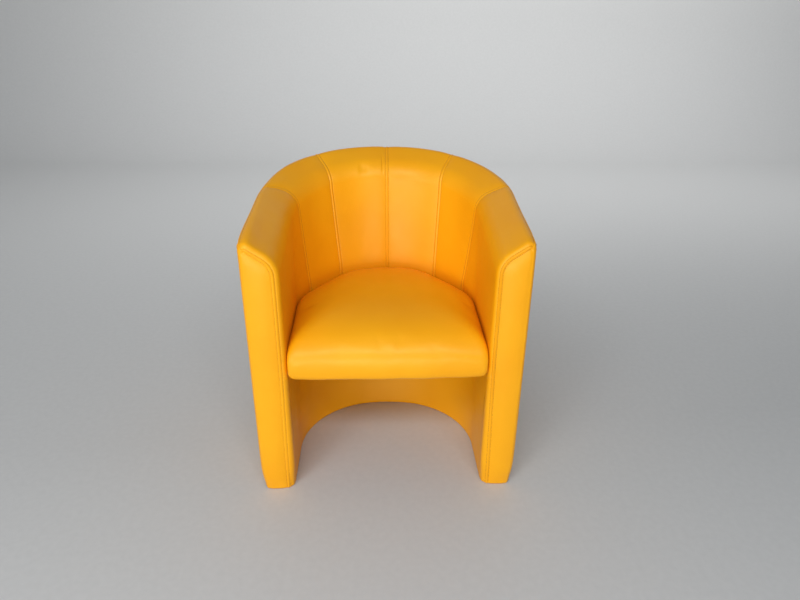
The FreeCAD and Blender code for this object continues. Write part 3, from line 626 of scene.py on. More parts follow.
def facing_seam(side):
    """A function for the distance to the seam over the facing's top and down its inner side."""
    corner_run = face_seam_run(side, plain_cut(side * RUN_FACE)[1])
    corner_steps, steps = 12, 260
    line = [skin(side * mix(RUN_SIDE_SEAM, corner_run, step / corner_steps), OUTER_EDGE_SEAM)
            for step in range(corner_steps)]
    for step in range(steps + 1):
        over = mix(OUTER_EDGE_SEAM, facing_row(1.0, side), step / steps)
        line.append(skin(side * facing_seam_run(side, over), over))
    tree = KDTree(len(line))
    for index, spot in enumerate(line):
        tree.insert(spot, index)
    tree.balance()

    def distance(spot):
        nearest = tree.find(spot)[1]
        found = []
        for start in (max(nearest - 1, 0), min(nearest, len(line) - 2)):
            share = intersect_point_line(spot, line[start], line[start + 1])[1]
            found.append((spot - line[start].lerp(line[start + 1], clamp(share))).length)
        return min(found)

    return distance


def make_facing(side, name):
    bm = bmesh.new()
    pole = Foot(side * RUN_FACE).at(WALL / 2, 0.0)
    legs = plain_cut(side * RUN_FACE)
    pole_z = legs[4] - FACE_POLE_DROP
    full = legs[4] - legs[1]
    outer_share = mix(FACE_LEG_ROWS, 1 - FACE_LEG_ROWS, (OUTER_EDGE_SEAM - full) / (OVER_RIM - full))
    outer_rows = round(FACE_ROWS * outer_share)
    to_seam = facing_seam(side)

    def lift(spot, from_side, along):
        """Height over the plain skin: padding that is low at the seams and at the hem."""
        from_seam = to_seam(spot)
        bulge = FACE_BULGE * math.sin(math.pi * clamp((HALF - abs(spot.x)) / WALL))
        share = fullness(from_seam) * fullness(from_side)
        share *= mix(HEM_PUFF, 1.0, ease((spot.z - COVER_BOTTOM) / FACE_HEM_REACH))
        near = from_seam if from_seam < from_side else -from_side
        return share * (PUFF + bulge + soft_waves(spot)) + seam_detail(near, along)

    def strip(run, over):
        return skin(side * run, over, lift(skin(side * run, over), run - RUN_SIDE_SEAM, over))

    def front(across, up):
        over = facing_row(up, side)
        level = legs[1] + over if over < OVER_RIM else legs[4] + OVER_RIM - over
        seam = facing_seam_run(side, over)
        if across == 0 and over < OUTER_EDGE_SEAM:
            return strip(seam, over)
        flat = skin(side * seam, over)
        middle = Vector((pole.x, FRONT, min(level, pole_z)))
        length = (middle - flat).length
        share = crowd_start(across, length, FACE_EDGE, 0.6)
        spot = flat.lerp(middle, share)
        spot.y = mix(flat.y, FRONT, ease(share * length / FRONT_ROUND))
        from_side = RUN_FACE - RUN_SIDE_SEAM + HALF - FRONT_ROUND - abs(spot.x)
        spot.y -= lift(spot, from_side, over)
        return spot

    def outer(across, up):
        over = facing_row(up * outer_rows / FACE_ROWS, side)
        seam = facing_seam_run(side, over)
        return strip(mix(RUN_SIDE_SEAM, seam, crowd(across, seam - RUN_SIDE_SEAM, FACE_EDGE, 0.4)), over)

    lay_grid(bm, 22, FACE_ROWS, front)
    lay_grid(bm, 20, outer_rows, outer)
    bmesh.ops.remove_doubles(bm, verts=bm.verts, dist=0.05 * MM)
    bmesh.ops.recalc_face_normals(bm, faces=bm.faces)
    piece = finish_cover(bm, "facing_" + name, Vector((side * (HALF - WALL / 2), FRONT - 0.2, 0.4)))
    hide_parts("facing_cover_" + name, "facing_foam_" + name)
    return piece


# Outside panels and the lining under the seat

def outside_place(left, right):
    def place(across, up):
        run = mix(left, right, crowd(across, right - left))
        start = over_outside(run, COVER_BOTTOM + HEM_ROUND)
        length = OUTER_EDGE_SEAM - start
        over = OUTER_EDGE_SEAM - length * crowd_start(1 - up, length)
        from_side = run - left if run - left < right - run else run - right
        low = corner_relief(from_side, over, over - OUTER_EDGE_SEAM, run, OUTSIDE_PUFF)
        waves = OUTSIDE_WAVES * soft_waves(skin(run, over)) * clamp(low / OUTSIDE_PUFF)
        return skin(run, over, low + waves)
    return place


def make_outside():
    made = []
    for name, left, right, columns in (
            ("left", -RUN_SIDE_SEAM, -OUTSIDE_SEAM, 64),
            ("back", -OUTSIDE_SEAM, OUTSIDE_SEAM, 130),
            ("right", OUTSIDE_SEAM, RUN_SIDE_SEAM, 64)):
        piece = grid_cover("outside_cover_" + name, columns, 130, outside_place(left, right),
                           Foot((left + right) / 2).at(-0.3, 0.4))
        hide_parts("outside_panel_" + name)
        made.append(piece)
    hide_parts("outer_wadding")
    return made


def lining_place(across, up):
    z = mix(COVER_BOTTOM + HEM_ROUND, PANEL_BOTTOM - LINING_GAP, up)
    left, right = -face_seam_run(-1, z), face_seam_run(1, z)
    run = mix(left, right, crowd(across, 2 * RUN_FACE, share=0.10))
    over = over_inside(run, z)
    lift = relief(run - left if across < 0.5 else run - right, over)
    arm = ease((abs(run) - RUN_TURN + LINING_PADDED) / LINING_PADDED)
    return skin(run, over, lift * arm + LINING_WAVES * soft_waves(skin(run, over)) * (1 - arm))


def make_lining():
    piece = grid_cover("lining_under_seat", 200, 60, lining_place, Vector((0, FRONT + 0.2, 0.2)))
    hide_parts("lower_lining")
    return piece


# Seat

def seat_edge(t, depth, front_inset, z_front, z_back):
    """A point of the seat's outline, t from 0 at the middle of the back to 1 at the middle of the front."""
    rise = (z_back - z_front) / (FLOOR_DEPTH - depth + LEAN * z_back)
    half = HALF - depth
    corner = SEAT_CORNER + SEAT_CORNER_GROWS * (depth - SEAT_EDGE)
    start = front_inset - SEAT_FORWARD + SEAT_BOW
    bend = CORNER_RADIUS - depth

    def leaning(x, y):
        return Vector((x, (y + LEAN * z_front) / (1 - LEAN * rise), 0))

    arm = leaning(half, ARM_END)
    lengths = (RUN_BACK * (BACK_RADIUS - depth) / BACK_RADIUS, bend * (math.pi / 2 - BACK_SWEEP),
               arm.y - start - corner, corner * math.pi / 2, half - corner)
    way = t * sum(lengths)
    part = 0
    while part < 4 and way > lengths[part]:
        way -= lengths[part]
        part += 1
    share = way / lengths[part]
    if part == 0:
        angle = share * BACK_SWEEP
        spot = leaning((BACK_RADIUS - depth) * math.sin(angle),
                       BACK_CENTRE_Y + (BACK_RADIUS - depth) * math.cos(angle))
    elif part == 1:
        angle = mix(BACK_SWEEP, math.pi / 2, share)
        spot = leaning(CORNER_SPREAD + bend * math.sin(angle), ARM_END + bend * math.cos(angle))
    elif part == 2:
        spot = arm.lerp(Vector((half, start + corner, 0)), share)
    elif part == 3:
        angle = share * math.pi / 2
        spot = Vector((half - corner * (1 - math.cos(angle)), start + corner * (1 - math.sin(angle)), 0))
    else:
        spot = Vector(((half - corner) * (1 - share), start - SEAT_BOW * (1 - (1 - share) ** 2), 0))
    return Vector((spot.x, spot.y + FRONT, z_front + rise * spot.y))


def seat_outline(depth, front_inset, z_front, z_back):
    """The points of the seat's outline, once round from the middle of the back."""
    points = []
    for index in range(SEAT_POINTS):
        t = 2 * index / SEAT_POINTS
        spot = seat_edge(min(t, 2 - t), depth, front_inset, z_front, z_back)
        points.append(Vector((spot.x if t <= 1 else -spot.x, spot.y, spot.z)))
    return points


def seat_ring(level, shrink):
    """The outline at a level, drawn in by shrink square to its slope."""
    up_front, up_back, side_inset, front_inset, slope = level
    slope = math.radians(slope)
    out = shrink * math.cos(slope)
    up = shrink * math.sin(slope)
    return seat_outline(SEAT_EDGE + side_inset * MM + out, front_inset * MM + out,
                        SEAT_UNDERSIDE + up_front * MM - up, SEAT_UNDERSIDE + up_back * MM - up)


def between(before, start, end, after, t):
    """A smooth curve from start to end, whose slopes follow the points before and after them."""
    bend = 2 * before - 5 * start + 4 * end - after
    twist = 3 * start - before - 3 * end + after
    return start + 0.5 * t * (end - before + t * (bend + t * twist))


def seat_levels():
    """The levels of SEAT_LEVELS with more of them in between, on a smooth curve."""
    last = len(SEAT_LEVELS) - 1
    levels = []
    for index in range(last):
        near = [SEAT_LEVELS[min(max(index + step, 0), last)] for step in (-1, 0, 1, 2)]
        for step in range(SEAT_LEVEL_STEPS):
            levels.append([between(*column, step / SEAT_LEVEL_STEPS) for column in zip(*near)])
    return levels + [SEAT_LEVELS[-1]]


def seat_body(shrink):
    """The crowned seat as a closed form, ring by ring."""
    bm = bmesh.new()
    verts = bmesh.ops.create_circle(bm, cap_ends=False, segments=SEAT_POINTS, radius=1.0)["verts"]
    edges = list(bm.edges)
    levels = seat_levels()
    for vert, spot in zip(verts, seat_ring(levels[0], shrink)):
        vert.co = spot
    bmesh.ops.contextual_create(bm, geom=edges)
    for level in levels[1:]:
        order = {vert: index for index, vert in enumerate(verts)}
        made = bmesh.ops.extrude_edge_only(bm, edges=edges)["geom"]
        edges = [item for item in made if isinstance(item, bmesh.types.BMEdge)]
        fresh = {v for e in edges for v in e.verts}
        old = {vert: order[edge.other_vert(vert)] for vert in fresh for edge in vert.link_edges
               if edge.other_vert(vert) in order}
        spots = seat_ring(level, shrink)
        verts = sorted(fresh, key=lambda v: old[v])
        for vert in verts:
            vert.co = spots[old[vert]]
    bmesh.ops.contextual_create(bm, geom=edges)
    bmesh.ops.recalc_face_normals(bm, faces=bm.faces)
    return bm


def wall_depth(spot):
    """Depth into the wall from its outer skin, and the way out, at any point."""
    x, y = spot.x, spot.y - FRONT - LEAN * spot.z
    if y <= ARM_END:
        return HALF - abs(x), Vector((math.copysign(1.0, x), 0, 0))
    centre, radius = plan_centre(x, y)
    way = Vector((x, y, 0)) - centre
    return radius - way.length, way.normalized()


def settle_seat(mesh):
    """Presses the seat against the wall, lets its front bulge and hang, and adds its small folds."""
    for vert in mesh.vertices:
        spot = vert.co
        depth, out = wall_depth(spot)
        y = spot.y - FRONT
        high = spot.z - SEAT_UNDERSIDE
        front = fade(y, LIP_Y)
        spread = SEAT_SPREAD * front * fade(high, LIP_LOW) * fade(high, LIP_HIGH)
        spot += out * spread * fade(depth - SEAT_EDGE, SPREAD_DEPTH)
        spot += out * SEAT_SQUEEZE * fade(depth - SEAT_EDGE, SQUEEZE_DEPTH) * (1 - front)
        depth, out = wall_depth(spot)
        limit = SEAT_EDGE - spread + SEAT_BACK_GAP * fade(y, BACK_GAP_Y)
        if depth < limit:
            spot -= out * (limit - depth)
        bearing = math.atan2(abs(out.x), out.y)
        drop = SEAT_DROP * math.exp(-((bearing - SEAT_DROP_AT) / SEAT_DROP_WIDE) ** 2)
        spot.z -= drop * fade(depth - SEAT_EDGE, DROP_DEPTH) * fade(high, DROP_HIGH)
        spot.z = max(spot.z, SEAT_UNDERSIDE)
        spot.y -= SEAT_PUSH * fade(y, PUSH_Y)
        spot.z -= SEAT_SAG * fade(high, SAG_HIGH) * fade(y, SAG_Y)
        low = fade(high, FOLD_HIGH) * fade(y, FOLD_Y)
        fold = SEAT_CREASE * math.exp(-((spot.x - SEAT_CREASE_AT) / SEAT_CREASE_WIDE) ** 2)
        wave = SEAT_WAVE * noise.noise((spot.x * SEAT_WAVE_PACE, 0.3, 0.0))
        spot.y += low * (fold + wave)
        spot.z += low * wave + SEAT_WAVES * soft_waves(spot)
        vert.co = spot


def apply_modifiers(piece):
    graph = bpy.context.evaluated_depsgraph_get()
    mesh = bpy.data.meshes.new_from_object(piece.evaluated_get(graph))
    piece.modifiers.clear()
    old = piece.data
    piece.data = mesh
    bpy.data.meshes.remove(old)


def simulate_seat(piece):
    """Blows the cover up a little, as foam fills it, and caps how far any point moves."""
    before = [vert.co.copy() for vert in piece.data.vertices]
    cloth = piece.modifiers.new("cloth", "CLOTH")
    settings = cloth.settings
    settings.quality = 6
    settings.mass = 0.3
    settings.use_pressure = True
    settings.uniform_pressure_force = 4.0
    settings.tension_stiffness = 18
    settings.compression_stiffness = 18
    settings.bending_stiffness = 2.0
    settings.effector_weights.gravity = 0.0
    cloth.point_cache.frame_start = 1
    cloth.point_cache.frame_end = SEAT_FRAMES
    for number in range(1, SEAT_FRAMES + 1):
        scene.frame_set(number)
    apply_modifiers(piece)
    for vert, start in zip(piece.data.vertices, before):
        move = vert.co - start
        if move.length > SEAT_MOVE_CAP:
            vert.co = start + move * (SEAT_MOVE_CAP / move.length)
    scene.frame_set(1)


def make_seat():
    piece = finish_mesh(seat_body(SEAT_SHRINK), "seat_cushion")
    remesh = piece.modifiers.new("remesh", "REMESH")
    remesh.mode = "VOXEL"
    remesh.voxel_size = SEAT_VOXEL
    apply_modifiers(piece)
    simulate_seat(piece)
    smoother = piece.modifiers.new("smooth", "SMOOTH")
    smoother.factor = 0.5
    smoother.iterations = 3
    apply_modifiers(piece)
    settle_seat(piece.data)
    for face in piece.data.polygons:
        face.use_smooth = True
    finer = piece.modifiers.new("finer", "SUBSURF")
    finer.levels = 1
    finer.render_levels = 1
    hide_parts("seat_cover", "seat_foam")
    return piece


# Stitches

def stitch_places(spots, outs):
    """Where each stitch of a row lies: its place, turned along the row and off the cover."""
    places = []
    for index in range(1, len(spots) - 1):
        along = (spots[index + 1] - spots[index - 1]).normalized()
        across = outs[index].cross(along).normalized()
        turn = Matrix((along, across, along.cross(across))).transposed().to_4x4()
        places.append(Matrix.Translation(spots[index]) @ turn)
    return places


def sew(name, places):
    """One small capsule of thread for each place."""
    bm = bmesh.new()
    size = Matrix.Diagonal((STITCH_LENGTH / 2, THREAD / 2, THREAD / 2, 1.0))
    pole = Matrix.Rotation(math.pi / 2, 4, "Y")
    bmesh.ops.create_uvsphere(bm, u_segments=6, v_segments=4, radius=1.0, matrix=size @ pole)
    each = len(bm.verts)
    piece = finish_mesh(bm, name)
    row = piece.modifiers.new("row", "ARRAY")
    row.use_relative_offset = False
    row.count = len(places)
    apply_modifiers(piece)
    for index, vert in enumerate(piece.data.vertices):
        vert.co = places[index // each] @ vert.co
    return piece


def even_steps(spot, start, end):
    """Values from start to end at which spot(value) lies a stitch's pitch apart."""
    count = 600
    values = [mix(start, end, index / count) for index in range(count + 1)]
    spots = [spot(value) for value in values]
    chosen = [values[0]]
    way = 0.0
    for index in range(1, count + 1):
        way += (spots[index] - spots[index - 1]).length
        if way >= STITCH_PITCH:
            chosen.append(values[index])
            way -= STITCH_PITCH
    return chosen


def sew_row(spot, place, start, end):
    """Places along spot(value), raised off the cover at the run and over of place(value)."""
    def off(value):
        run, over = place(value)
        return (skin(run, over, 5 * MM) - skin(run, over)).normalized()

    values = even_steps(spot, start, end)
    outs = [off(value) for value in values]
    return stitch_places([spot(value) + out * THREAD_RAISE for value, out in zip(values, outs)], outs)


def make_stitches():
    start = OUTER_EDGE_SEAM + STITCH_OFF
    places = []
    for number in range(5):
        end = over_inside(seam_run(number, SEWN_OVER), SEWN_TO_Z)
        for side in (-1, 1):
            def spot(over):
                run = seam_run(number, over)
                narrow = Foot(run).narrower(clamp(over - OUTER_ARC, 0.0, WALL))
                return panel_spot(number + (side > 0), run + side * STITCH_OFF / narrow, over)

            places += sew_row(spot, lambda over: (seam_run(number, over), over), start, end)
    pieces = [sew("stitches_inside_seams", places)]

    for side, name, panel in ((-1, "left", 0), (1, "right", 5)):
        end = over_inside(side * RUN_TURN, COVER_BOTTOM + HEM_CLEAR)
        places = []
        for row in (-1, 1):
            def place(over):
                seam = face_seam_run(side, skin(side * RUN_TURN, over).z)
                return side * (seam + row * STITCH_OFF), over

            def spot(over):
                run = place(over)[0]
                if row > 0:
                    return skin(run, over, relief(STITCH_OFF, over))
                if skin(side * RUN_TURN, over).z < PANEL_BOTTOM:
                    return skin(run, over, relief(-side * STITCH_OFF, over))
                return panel_spot(panel, run, over)

            places += sew_row(spot, place, start, end)
        pieces.append(sew("stitches_facing_" + name, places))

    places = []
    for row, puff in ((-1, OUTSIDE_PUFF), (1, PUFF)):
        over = OUTER_EDGE_SEAM + row * STITCH_OFF
        for sign in (-1, 1):
            places += sew_row(lambda run: skin(run, over, relief(row * STITCH_OFF, run, puff)),
                              lambda run: (run, over),
                              -sign * STITCH_PITCH / 2, sign * (RUN_SIDE_SEAM + RIM_STITCHES_PAST))
    pieces.append(sew("stitches_rim", places))

    places = []
    for seam in (-RUN_SIDE_SEAM, -OUTSIDE_SEAM, OUTSIDE_SEAM, RUN_SIDE_SEAM):
        for row in (-1, 1):
            run = seam + row * STITCH_OFF
            puff = OUTSIDE_PUFF if abs(run) < RUN_SIDE_SEAM else PUFF
            places += sew_row(lambda over: skin(run, over, relief(row * STITCH_OFF, over, puff)),
                              lambda over: (run, over),
                              over_outside(run, COVER_BOTTOM + HEM_CLEAR), OUTER_EDGE_SEAM - 2 * STITCH_OFF)
    pieces.append(sew("stitches_outside_seams", places))
    return pieces


# Cloths under the chair and the seat's straps

def make_base_cloth():
    low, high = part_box("base_cloth")
    edge = CLOTH_EDGE

    def place(across, up):
        foot = Foot(mix(-RUN_TURN + edge, RUN_TURN - edge, across))
        spot = foot.at(mix(edge, WALL - edge, up), low.z)
        return Vector((spot.x, spot.y, low.z + CLOTH_RAISE))

    piece = grid_cover("cloth_under_wall", 160, 8, place, Vector((0, FRONT + FLOOR_DEPTH, -1.0)),
                       thickness=high.z - low.z, hem=False)
    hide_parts("base_cloth")
    return piece


def make_seat_cloth():
    low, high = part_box("seat_cloth")
    bm = bmesh.new()
    verts = bmesh.ops.create_circle(bm, cap_ends=False, segments=SEAT_POINTS, radius=1.0)["verts"]
    outline = seat_outline(SEAT_EDGE + SEAT_CLOTH_INSET, SEAT_CLOTH_INSET, low.z, low.z)
    for vert, spot in zip(verts, outline):
        vert.co = spot
    bmesh.ops.contextual_create(bm, geom=list(bm.edges))
    for _ in range(5):
        bmesh.ops.inset_region(bm, faces=[max(bm.faces, key=lambda f: f.calc_area())],
                               thickness=SEAT_CLOTH_RING, depth=0.0, use_even_offset=True)
    area = sum(face.calc_area() for face in bm.faces)
    piece = finish_cover(bm, "cloth_under_seat", Vector((0, FRONT + 0.25, -1.0)),
                         thickness=high.z - low.z, hem=False)
    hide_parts("seat_cloth")
    return piece


def make_straps():
    """The webbing is flat woven straps on the seat frame, each a thin strip that dips a little."""
    low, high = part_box("seat_webbing")
    thick = (high.z - low.z) / 2
    bm = bmesh.new()
    for index in range(4):
        x = (index - 1.5) * STRAP_PITCH_X
        lay_strap(bm, Vector((x, low.y, low.z)), Vector((x, strap_end(x), low.z)), thick)
    for index in range(3):
        y = (low.y + high.y) / 2 + (index - 1) * STRAP_PITCH_Y
        reach = Vector((strap_reach(y), 0, 0))
        middle = Vector((0, y, low.z + thick))
        lay_strap(bm, middle - reach, middle + reach, thick)
    piece = finish_mesh(bm, "seat_straps")
    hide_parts("seat_webbing")
    return piece


def strap_end(x):
    """Where a strap at x ends behind, inside the seat frame's outline."""
    far = abs(x) + STRAP_WIDTH / 2
    inset = SEAT_EDGE + STRAP_INSET
    back = BACK_CENTRE_Y + math.sqrt(max((BACK_RADIUS - inset) ** 2 - far ** 2, 0.0))
    side = ARM_END + math.sqrt(max((CORNER_RADIUS - inset) ** 2 - max(far - CORNER_SPREAD, 0.0) ** 2, 0.0))
    return min(back, side) + FRONT + LEAN * SEAT_UNDERSIDE


def strap_reach(y):
    """How far from the middle a strap at y ends."""
    past = max(y + STRAP_WIDTH / 2 - FRONT - LEAN * SEAT_UNDERSIDE - ARM_END, 0.0)
    return CORNER_SPREAD + math.sqrt(max((CORNER_RADIUS - SEAT_EDGE - STRAP_INSET) ** 2 - past ** 2, 0.0))


def lay_strap(bm, start, end, thick):
    """A strap from start to end in a layer of this thickness: it fills 0.8 of it and dips by 0.1."""
    way = end - start
    across = Vector((0, 0, 1)).cross(way).normalized() * (STRAP_WIDTH / 2)

    def place(along, side):
        spot = start + way * along + across * (2 * side - 1)
        spot.z += 0.5 * thick + 0.1 * thick * math.cos(2 * math.pi * along)
        return spot

    verts = lay_grid(bm, 24, 4, place)
    faces = list({face for vert in verts for face in vert.link_faces})
    bmesh.ops.solidify(bm, geom=faces + verts, thickness=0.8 * thick)


# Materials

def node_material(name):
    made = bpy.data.materials.new(name)
    made.use_nodes = True
    tree = made.node_tree
    shader = tree.nodes["Principled BSDF"]
    place = tree.nodes.new("ShaderNodeTexCoord")
    return made, tree, shader, place.outputs["Object"]


def colour(red, green, blue):
    """A colour written as it looks on a screen, 0 to 255."""
    def plain(value):
        value = value / 255
        return value / 12.92 if value <= 0.04045 else ((value + 0.055) / 1.055) ** 2.4
    return (plain(red), plain(green), plain(blue), 1.0)


def paint(tree, shader, shade, roughness):
    tree.links.new(shade, shader.inputs["Base Color"])
    shader.inputs["Roughness"].default_value = roughness


def new_node(tree, kind, **values):
    """A node of a kind with values for its inputs. An underscore stands for a space in a name."""
    node = tree.nodes.new(kind)
    for name, value in values.items():
        node.inputs[name.replace("_", " ")].default_value = value
    return node


def noise_node(tree, vector, scale, detail=3.0, roughness=0.5, stretch=None):
    if stretch:
        mapping = new_node(tree, "ShaderNodeMapping", Scale=stretch)
        tree.links.new(vector, mapping.inputs["Vector"])
        vector = mapping.outputs["Vector"]
    node = new_node(tree, "ShaderNodeTexNoise", Scale=scale, Detail=detail, Roughness=roughness)
    tree.links.new(vector, node.inputs["Vector"])
    return node.outputs["Fac"]


def ramp(tree, value, dark, light, start=0.3, end=0.7):
    """Shades from dark to light as the value goes from start to end."""
    node = tree.nodes.new("ShaderNodeValToRGB")
    for element, place, shade in zip(node.color_ramp.elements, (start, end), (dark, light)):
        element.position = place
        element.color = shade
    tree.links.new(value, node.inputs["Fac"])
    return node.outputs["Color"]


def span(tree, value, low, high):
    """Numbers from low to high as a noise goes through the middle of its values."""
    node = new_node(tree, "ShaderNodeMapRange", From_Min=0.3, From_Max=0.7, To_Min=low, To_Max=high)
    tree.links.new(value, node.inputs["Value"])
    return node.outputs["Result"]


def bump(tree, shader, height, strength, distance, under=None):
    """Fine relief, distance metres high, over the relief under it."""
    node = new_node(tree, "ShaderNodeBump", Strength=strength, Distance=distance)
    tree.links.new(height, node.inputs["Height"])
    if under is not None:
        tree.links.new(under, node.inputs["Normal"])
    tree.links.new(node.outputs["Normal"], shader.inputs["Normal"])
    return node.outputs["Normal"]


def wave_node(tree, vector, axis, scale, distortion):
    node = new_node(tree, "ShaderNodeTexWave", Scale=scale, Distortion=distortion)
    node.bands_direction = axis
    tree.links.new(vector, node.inputs["Vector"])
    return node.outputs["Fac"]


def vinyl():
    made, tree, shader, at = node_material("amber_vinyl")
    shade = ramp(tree, noise_node(tree, at, 5.0, 4.0), colour(243, 163, 6), colour(248, 172, 12))
    tree.links.new(shade, shader.inputs["Base Color"])
    cells = tree.nodes.new("ShaderNodeTexVoronoi")
    cells.feature = "SMOOTH_F1"
    cells.inputs["Scale"].default_value = 850.0
    cells.inputs["Smoothness"].default_value = 0.6
    tree.links.new(at, cells.inputs["Vector"])
    grain = bump(tree, shader, cells.outputs["Distance"], 0.12, 0.0002)
    bump(tree, shader, noise_node(tree, at, 90.0, 4.0), 0.10, 0.0004, grain)
    tree.links.new(span(tree, noise_node(tree, at, 22.0, 5.0), 0.38, 0.46), shader.inputs["Roughness"])
    shader.inputs["IOR"].default_value = 1.5
    shader.inputs["Specular IOR Level"].default_value = 0.58
    shader.inputs["Specular Tint"].default_value = (1.0, 0.86, 0.5, 1.0)
    return made


def grained(name, dark, light, grain, stops=(0.3, 0.7), height=None, roughness=0.6):
    """A finish whose shade, and fine relief if it has height, follow one noise."""
    made, tree, shader, at = node_material(name)
    value = noise_node(tree, at, *grain)
    paint(tree, shader, ramp(tree, value, dark, light, *stops), roughness)
    if height:
        bump(tree, shader, value, *height)
    return made


def thread(name, dark, light):
    return grained(name, dark, light, (2500.0, 2.0), (0.35, 0.65), (0.4, 0.0001))


def woven(name, dark, light, threads, thickness):
    """Plain weave from two crossing waves on Object coordinates."""
    made, tree, shader, at = node_material(name)
    both = tree.nodes.new("ShaderNodeMath")
    both.operation = "MAXIMUM"
    for index, axis in enumerate(("X", "Y")):
        tree.links.new(wave_node(tree, at, axis, threads, 0.6), both.inputs[index])
    paint(tree, shader, ramp(tree, both.outputs[0], dark, light, 0.3, 0.9), 0.85)
    bump(tree, shader, both.outputs[0], 0.5, thickness)
    return made


def plywood():
    """Plies as waves in height, under a long grain."""
    made, tree, shader, at = node_material("birch_plywood")
    plies = wave_node(tree, at, "Z", 110.0, 0.4)
    grain = noise_node(tree, at, 40.0, 6.0, 0.6, (1.0, 12.0, 12.0))
    blend = tree.nodes.new("ShaderNodeMix")
    blend.data_type = "RGBA"
    blend.inputs["Factor"].default_value = 0.35
    shade = ramp(tree, grain, colour(196, 164, 118), colour(222, 194, 150))
    tree.links.new(shade, blend.inputs["A"])
    shade = ramp(tree, plies, colour(168, 132, 88), colour(226, 200, 158), 0.35, 0.65)
    tree.links.new(shade, blend.inputs["B"])
    paint(tree, shader, blend.outputs["Result"], 0.7)
    bump(tree, shader, grain, 0.2, 0.0002)
    return made


def zinc():
    made, tree, shader, at = node_material("zinc_plated_steel")
    spots = noise_node(tree, at, 220.0, 4.0)
    shade = ramp(tree, spots, colour(168, 172, 178), colour(204, 206, 208))
    tree.links.new(shade, shader.inputs["Base Color"])
    tree.links.new(span(tree, spots, 0.28, 0.42), shader.inputs["Roughness"])
    shader.inputs["Metallic"].default_value = 1.0
    return made


def dress(piece, material):
    piece.data.materials.clear()
    piece.data.materials.append(material)


# Make and dress the chair
covers = make_inside_covers() + make_outside()
covers += [make_facing(-1, "left"), make_facing(1, "right")]
lining = make_lining()
seat = make_seat()
stitches = make_stitches()
base_cloth = make_base_cloth()
seat_cloth = make_seat_cloth()
straps = make_straps()

amber = vinyl()
for piece in covers + [lining, seat]:
    dress(piece, amber)
# The thread on the facings, rim and outside seams is its own brown made darker: painted shade of the stitch
# grooves.
brown = thread("brown_thread_painted_groove_shade", colour(112, 62, 6), colour(150, 88, 12))
# The thread on the inside seams is the same thread made a lighter amber: a painted highlight along the seam
# ridge.
amber_thread_painted_highlight = thread("amber_thread_painted_highlight", colour(150, 92, 10), colour(188, 120, 16))
for piece in stitches:
    dress(piece, amber_thread_painted_highlight if piece.name == "stitches_inside_seams" else brown)
black = woven("black_lining_cloth", colour(16, 16, 17), colour(38, 38, 40), 500.0, 0.0002)
for piece in (base_cloth, seat_cloth):
    dress(piece, black)
dress(straps, woven("jute_webbing", colour(120, 92, 60), colour(176, 146, 104), 260.0, 0.0004))
for piece in covers + [lining, seat, base_cloth, seat_cloth, straps] + stitches:
    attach(piece, "root")

for finish, names in (
        (plywood(), ("base_rail", "seat_rail", "top_rail", "front_post_left", "front_post_right",
                     "seat_frame", "seat_cleat_left", "seat_cleat_right", "seat_cleat_back")),
        (grained("beech", colour(186, 138, 92), colour(214, 172, 124),
                 (60.0, 6.0, 0.6, (8.0, 8.0, 0.6)), height=(0.2, 0.0002)),
         ("lower_studs", "upper_studs", "corner_blocks")),
        (grained("brown_fibreboard", colour(120, 84, 54), colour(152, 112, 76),
                 (300.0, 5.0, 0.7), (0.35, 0.65), (0.3, 0.0002), 0.8),
         ("outer_board", "inner_board", "lower_inner_board")),
        (zinc(), ("cleat_screws", "post_screws", "seat_bolts", "seat_washers", "seat_tee_nuts",
                  "glide_nails")),
        (grained("black_glide_plastic", colour(22, 22, 23), colour(40, 40, 41),
                 (260.0, 5.0, 0.6), (0.4, 0.7), (0.2, 0.0002), 0.5), ("floor_glides",))):
    for name in names:
        dress(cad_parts[name], finish)

# Floor, light and camera. The floor turns up into a backdrop behind the chair
FLOOR_HALF_WIDTH = 12.0
FLOOR_FRONT = -4.5
FLOOR_BACK = 3.6
BACKDROP_BEND = 1.2
BACKDROP_HEIGHT = 4.0
NEAR = 10 * MM
FLOOR_GRAIN = 0.96


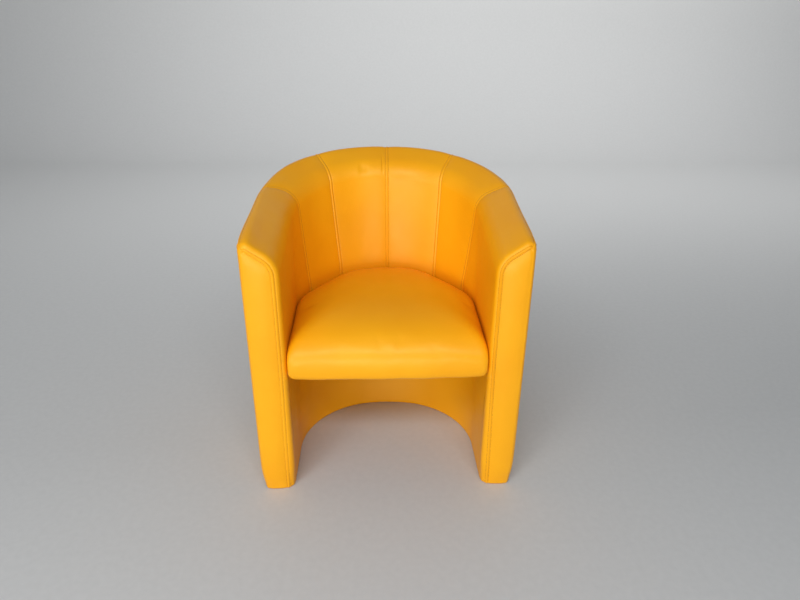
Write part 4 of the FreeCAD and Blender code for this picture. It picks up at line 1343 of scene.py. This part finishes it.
def make_backdrop():
    bm = bmesh.new()
    bmesh.ops.create_grid(bm, x_segments=1, y_segments=1, size=1.0)
    for vert in bm.verts:
        y = FLOOR_BACK if vert.co.y > 0 else FLOOR_FRONT
        vert.co = Vector((FLOOR_HALF_WIDTH * vert.co.x, y, 0.0))
    back = [e for e in bm.edges if min(v.co.y for v in e.verts) > FLOOR_BACK - NEAR]
    bmesh.ops.spin(bm, geom=back, cent=(0, FLOOR_BACK, BACKDROP_BEND), axis=(1, 0, 0), angle=math.pi / 2,
                   steps=16)
    top = [e for e in bm.edges if min(v.co.z for v in e.verts) > BACKDROP_BEND - NEAR]
    made = bmesh.ops.extrude_edge_only(bm, edges=top)["geom"]
    raised = [item for item in made if isinstance(item, bmesh.types.BMVert)]
    bmesh.ops.translate(bm, verts=raised, vec=(0, 0, BACKDROP_HEIGHT))
    bmesh.ops.recalc_face_normals(bm, faces=bm.faces)
    face_towards(bm, Vector((0, 0, 5.0)))
    piece = finish_mesh(bm, "floor_and_backdrop")
    light = colour(206, 206, 205)
    dark = tuple(FLOOR_GRAIN * channel for channel in light[:3]) + (1.0,)
    dress(piece, grained("pale_floor", dark, light, (60.0, 4.0), roughness=0.7))


make_backdrop()

world = bpy.data.worlds.new("studio")
scene.world = world
world.use_nodes = True
world.node_tree.nodes["Background"].inputs["Color"].default_value = (0.88, 0.94, 1.0, 1.0)
world.node_tree.nodes["Background"].inputs["Strength"].default_value = 0.24


def area_light(name, place, target, size, power, tint=(1, 1, 1)):
    """A lamp at a place, pointing to a target, metres and watts."""
    data = bpy.data.lights.new(name, "AREA")
    data.shape = "RECTANGLE"
    data.size, data.size_y = size
    data.energy = power
    data.color = tint
    lamp = bpy.data.objects.new(name, data)
    scene.collection.objects.link(lamp)
    lamp.location = place
    lamp.rotation_mode = "QUATERNION"
    lamp.rotation_quaternion = (Vector(target) - Vector(place)).to_track_quat("-Z", "Y")


area_light("key", (-2.3, -3.0, 1.4), (0, 0, 0.4), (1.7, 1.2), 34)
area_light("sky", (-0.3, -2.7, 2.9), (0, 0, 0.4), (3.2, 0.6), 62, (0.96, 0.98, 1.0))
area_light("front", (-0.4, -3.7, 0.5), (0, 0, 0.2), (2.2, 0.8), 41)
area_light("backdrop", (1.2, 1.7, 3.2), (1.0, 4.6, 1.7), (6.0, 0.8), 120)

camera_data = bpy.data.cameras.new("camera")
camera = bpy.data.objects.new("camera", camera_data)
scene.collection.objects.link(camera)
scene.camera = camera
camera_data.sensor_width = 36.0
camera_data.lens = 27.0
camera_data.clip_start = 0.05
CAMERA_PLACE = Vector((-0.0298, -1.2201, 1.1033))
CAMERA_PITCH = math.radians(24.85)
CAMERA_YAW = math.radians(2.61)
CAMERA_ROLL = math.radians(0.55)
camera.location = CAMERA_PLACE + Vector((0, FRONT, 0))
turn = Matrix.Rotation(-CAMERA_YAW, 4, "Z") @ Matrix.Rotation(math.pi / 2 - CAMERA_PITCH, 4, "X")
turn = turn @ Matrix.Rotation(CAMERA_ROLL, 4, "Z")
camera.rotation_mode = "QUATERNION"
camera.rotation_quaternion = turn.to_quaternion()

scene.view_settings.view_transform = "Standard"
